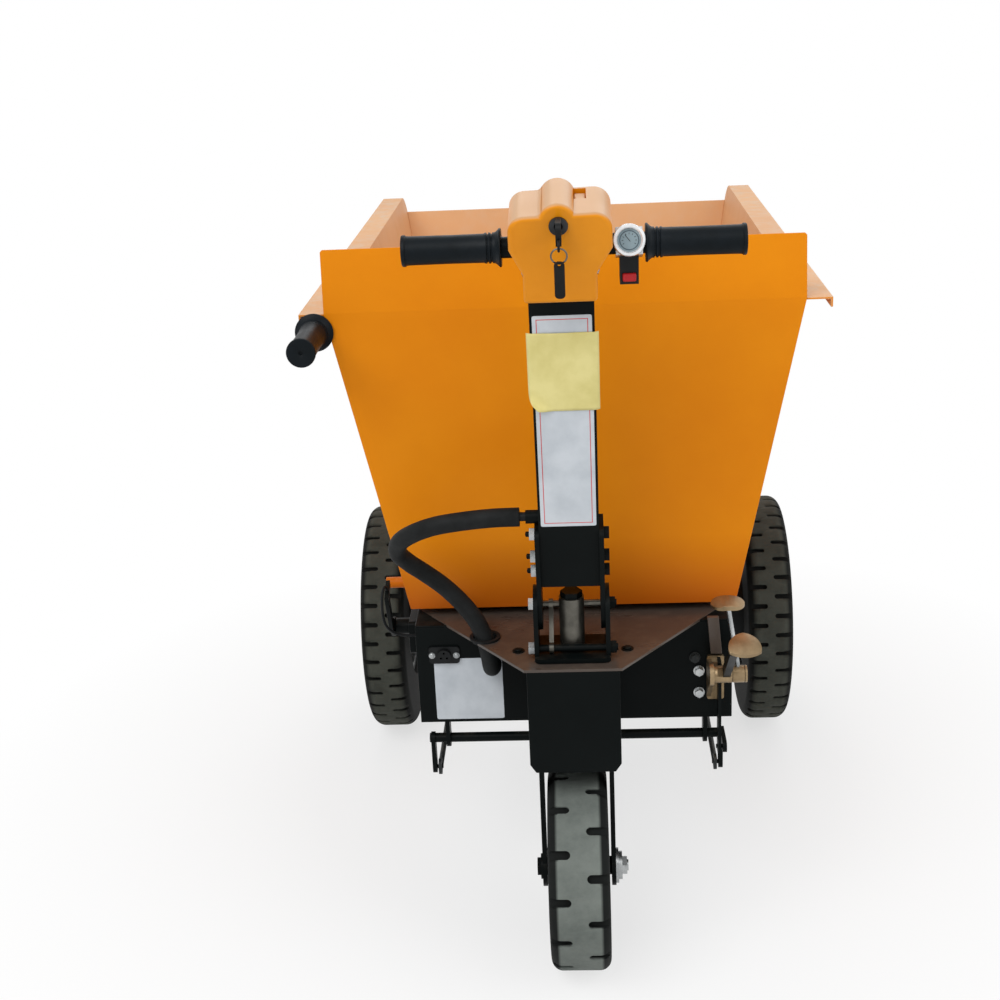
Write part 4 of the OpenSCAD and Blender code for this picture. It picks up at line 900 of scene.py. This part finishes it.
# Pedals and brake linkage
# Yellow zinc plated pedals on one pivot, one with a painted arm and one with a bare arm.
# A flat link and the cross shaft under the box are black. Two bright bolts and a dark one
# hold the bracket.
BRACKET_BOLTS_X, TOP_BOLT_Z = 0.187, 0.418
BRAKE_ARM_Z, PARK_ARM_Z = (0.4375, 0.508), (0.438, 0.528)
zinc_yellow = bare_metal("zinc_yellow", ink(116, 98, 72), ink(168, 146, 114), rough=0.4,
                         tint=ink(172, 140, 120))
bracket = finished("pedal_bracket", zinc_yellow, edge=0.0006)
patch(bracket, bright_steel, lambda at, facing: at.x < BRACKET_BOLTS_X)
patch(bracket, cast_iron, lambda at, facing: at.x < BRACKET_BOLTS_X and at.z > TOP_BOLT_Z)
brake_pedal = finished("brake_pedal", zinc_yellow)
patch(brake_pedal, box_black, lambda at, facing: BRAKE_ARM_Z[0] < at.z < BRAKE_ARM_Z[1])
park_pedal = finished("park_pedal", zinc_yellow)
patch(park_pedal, bright_steel, lambda at, facing: PARK_ARM_Z[0] < at.z < PARK_ARM_Z[1])
for node in ("brake_link", "cross_shaft"):
    finished(node, box_black)

# Bucket latch and its lanyard
# A swinging hook on the left of the box that holds the bucket down, with a thin pull cord
# from the hook to the side of the box. The route is in millimetres.
LANYARD = [(-264, -378.2, 531.5), (-264.5, -382.6, 538.2), (-266, -391, 541), (-268, -399, 534),
           (-269, -402, 520), (-269, -401, 502), (-266, -396, 484), (-257, -388, 470), (-243, -381, 462),
           (-225, -378, 460)]
LANYARD_D = 0.004
for node in ("latch_bracket", "latch_hook"):
    finished(node, box_black, edge=0.0008)
lanyard_line = smooth_route(LANYARD, steps=10)
lanyard = tube("latch_cord", lanyard_line, LANYARD_D / 2, black_rubber, sides=14)
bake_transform(lanyard)
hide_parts("latch_lanyard")

# Stage: floor, light and camera
# A pale floor that turns white away from the buggy, soft light from above and both sides,
# and the camera where the photograph was taken.
FLOOR_R, FLOOR_SIDES = 30.0, 64
FADE_FROM, FADE_TO = 0.45, 1.15


def seen_directly(tree):
    """1 for light that the camera, a gloss or a clear piece sees, and 0 for light that falls on pieces."""
    ray = tree.nodes.new("ShaderNodeLightPath")
    seen = worked_out(tree, "MAXIMUM", ray.outputs["Is Camera Ray"], ray.outputs["Is Glossy Ray"])
    return worked_out(tree, "MAXIMUM", seen, ray.outputs["Is Transmission Ray"])


floor_mesh = bpy.data.meshes.new("floor")
floor_angles = [2 * pi * k / FLOOR_SIDES for k in range(FLOOR_SIDES)]
floor_mesh.from_pydata([(FLOOR_R * cos(a), FLOOR_R * sin(a), 0.0) for a in floor_angles], [],
                       [list(range(FLOOR_SIDES))])
floor = bpy.data.objects.new("floor", floor_mesh)
bpy.context.scene.collection.objects.link(floor)
floor_white, tree, shader, place = start_finish("floor_white")
shader.inputs["Base Color"].default_value = (0.86, 0.86, 0.86, 1.0)
shader.inputs["Roughness"].default_value = 0.9
far = tree.nodes.new("ShaderNodeVectorMath")
far.operation = "LENGTH"
tree.links.new(place, far.inputs[0])
fade = level(tree, far.outputs["Value"], FADE_FROM, FADE_TO, 0.66, 1.0)
glow = tree.nodes.new("ShaderNodeEmission")
blend = tree.nodes.new("ShaderNodeMixShader")
tree.links.new(worked_out(tree, "MULTIPLY", fade, seen_directly(tree)), blend.inputs["Fac"])
tree.links.new(shader.outputs["BSDF"], blend.inputs[1])
tree.links.new(glow.outputs["Emission"], blend.inputs[2])
tree.links.new(blend.outputs["Shader"], tree.nodes["Material Output"].inputs["Surface"])
floor_mesh.materials.append(floor_white)

world = bpy.data.worlds.new("studio")
bpy.context.scene.world = world
world.use_nodes = True
sky = world.node_tree
background = sky.nodes["Background"]
background.inputs["Color"].default_value = (1.0, 1.0, 1.0, 1.0)
sky.links.new(level(sky, seen_directly(sky), 0.0, 1.0, 0.55, 1.0), background.inputs["Strength"])


def lamp(name, size, power, place, aim):
    """A soft box lamp that faces a point."""
    light = bpy.data.lights.new(name, "AREA")
    light.shape = "RECTANGLE"
    light.size, light.size_y = size
    light.energy = power
    holder = bpy.data.objects.new(name, light)
    bpy.context.scene.collection.objects.link(holder)
    turn = (Vector(aim) - Vector(place)).to_track_quat("-Z", "Y").to_matrix().to_4x4()
    holder.matrix_world = Matrix.Translation(place) @ turn


lamp("key", (3.0, 2.0), 75.0, (-1.6, -2.6, 3.4), (0.0, -0.1, 0.5))
lamp("fill", (2.6, 2.6), 34.0, (2.6, -1.8, 2.4), (0.0, -0.1, 0.5))
lamp("rear", (3.0, 2.0), 26.0, (0.4, 2.8, 3.0), (0.0, 0.0, 0.7))

CAMERA_AT = Vector((0.0192, -2.380, 1.3823))
YAW, PITCH, ROLL = radians(3.297), radians(19.709), radians(2.689)
FOCUS_PIXELS, FRAME_PIXELS, SENSOR_MM = 1528.4, 1000.0, 36.0
eye = bpy.data.cameras.new("photo_camera")
eye.sensor_width = SENSOR_MM
eye.lens = SENSOR_MM * FOCUS_PIXELS / FRAME_PIXELS
eye.clip_end = 200.0
camera = bpy.data.objects.new("photo_camera", eye)
bpy.context.scene.collection.objects.link(camera)
ahead = Vector((-sin(YAW) * cos(PITCH), cos(YAW) * cos(PITCH), -sin(PITCH)))
level_right = ahead.cross(UP).normalized()
level_up = level_right.cross(ahead)
camera_right = level_right * cos(ROLL) - level_up * sin(ROLL)
camera_up = level_up * cos(ROLL) + level_right * sin(ROLL)
turn = Matrix((camera_right, camera_up, -ahead)).transposed().to_4x4()
camera.matrix_world = Matrix.Translation(CAMERA_AT) @ turn
bpy.context.scene.camera = camera
bpy.context.scene.view_settings.view_transform = "Standard"
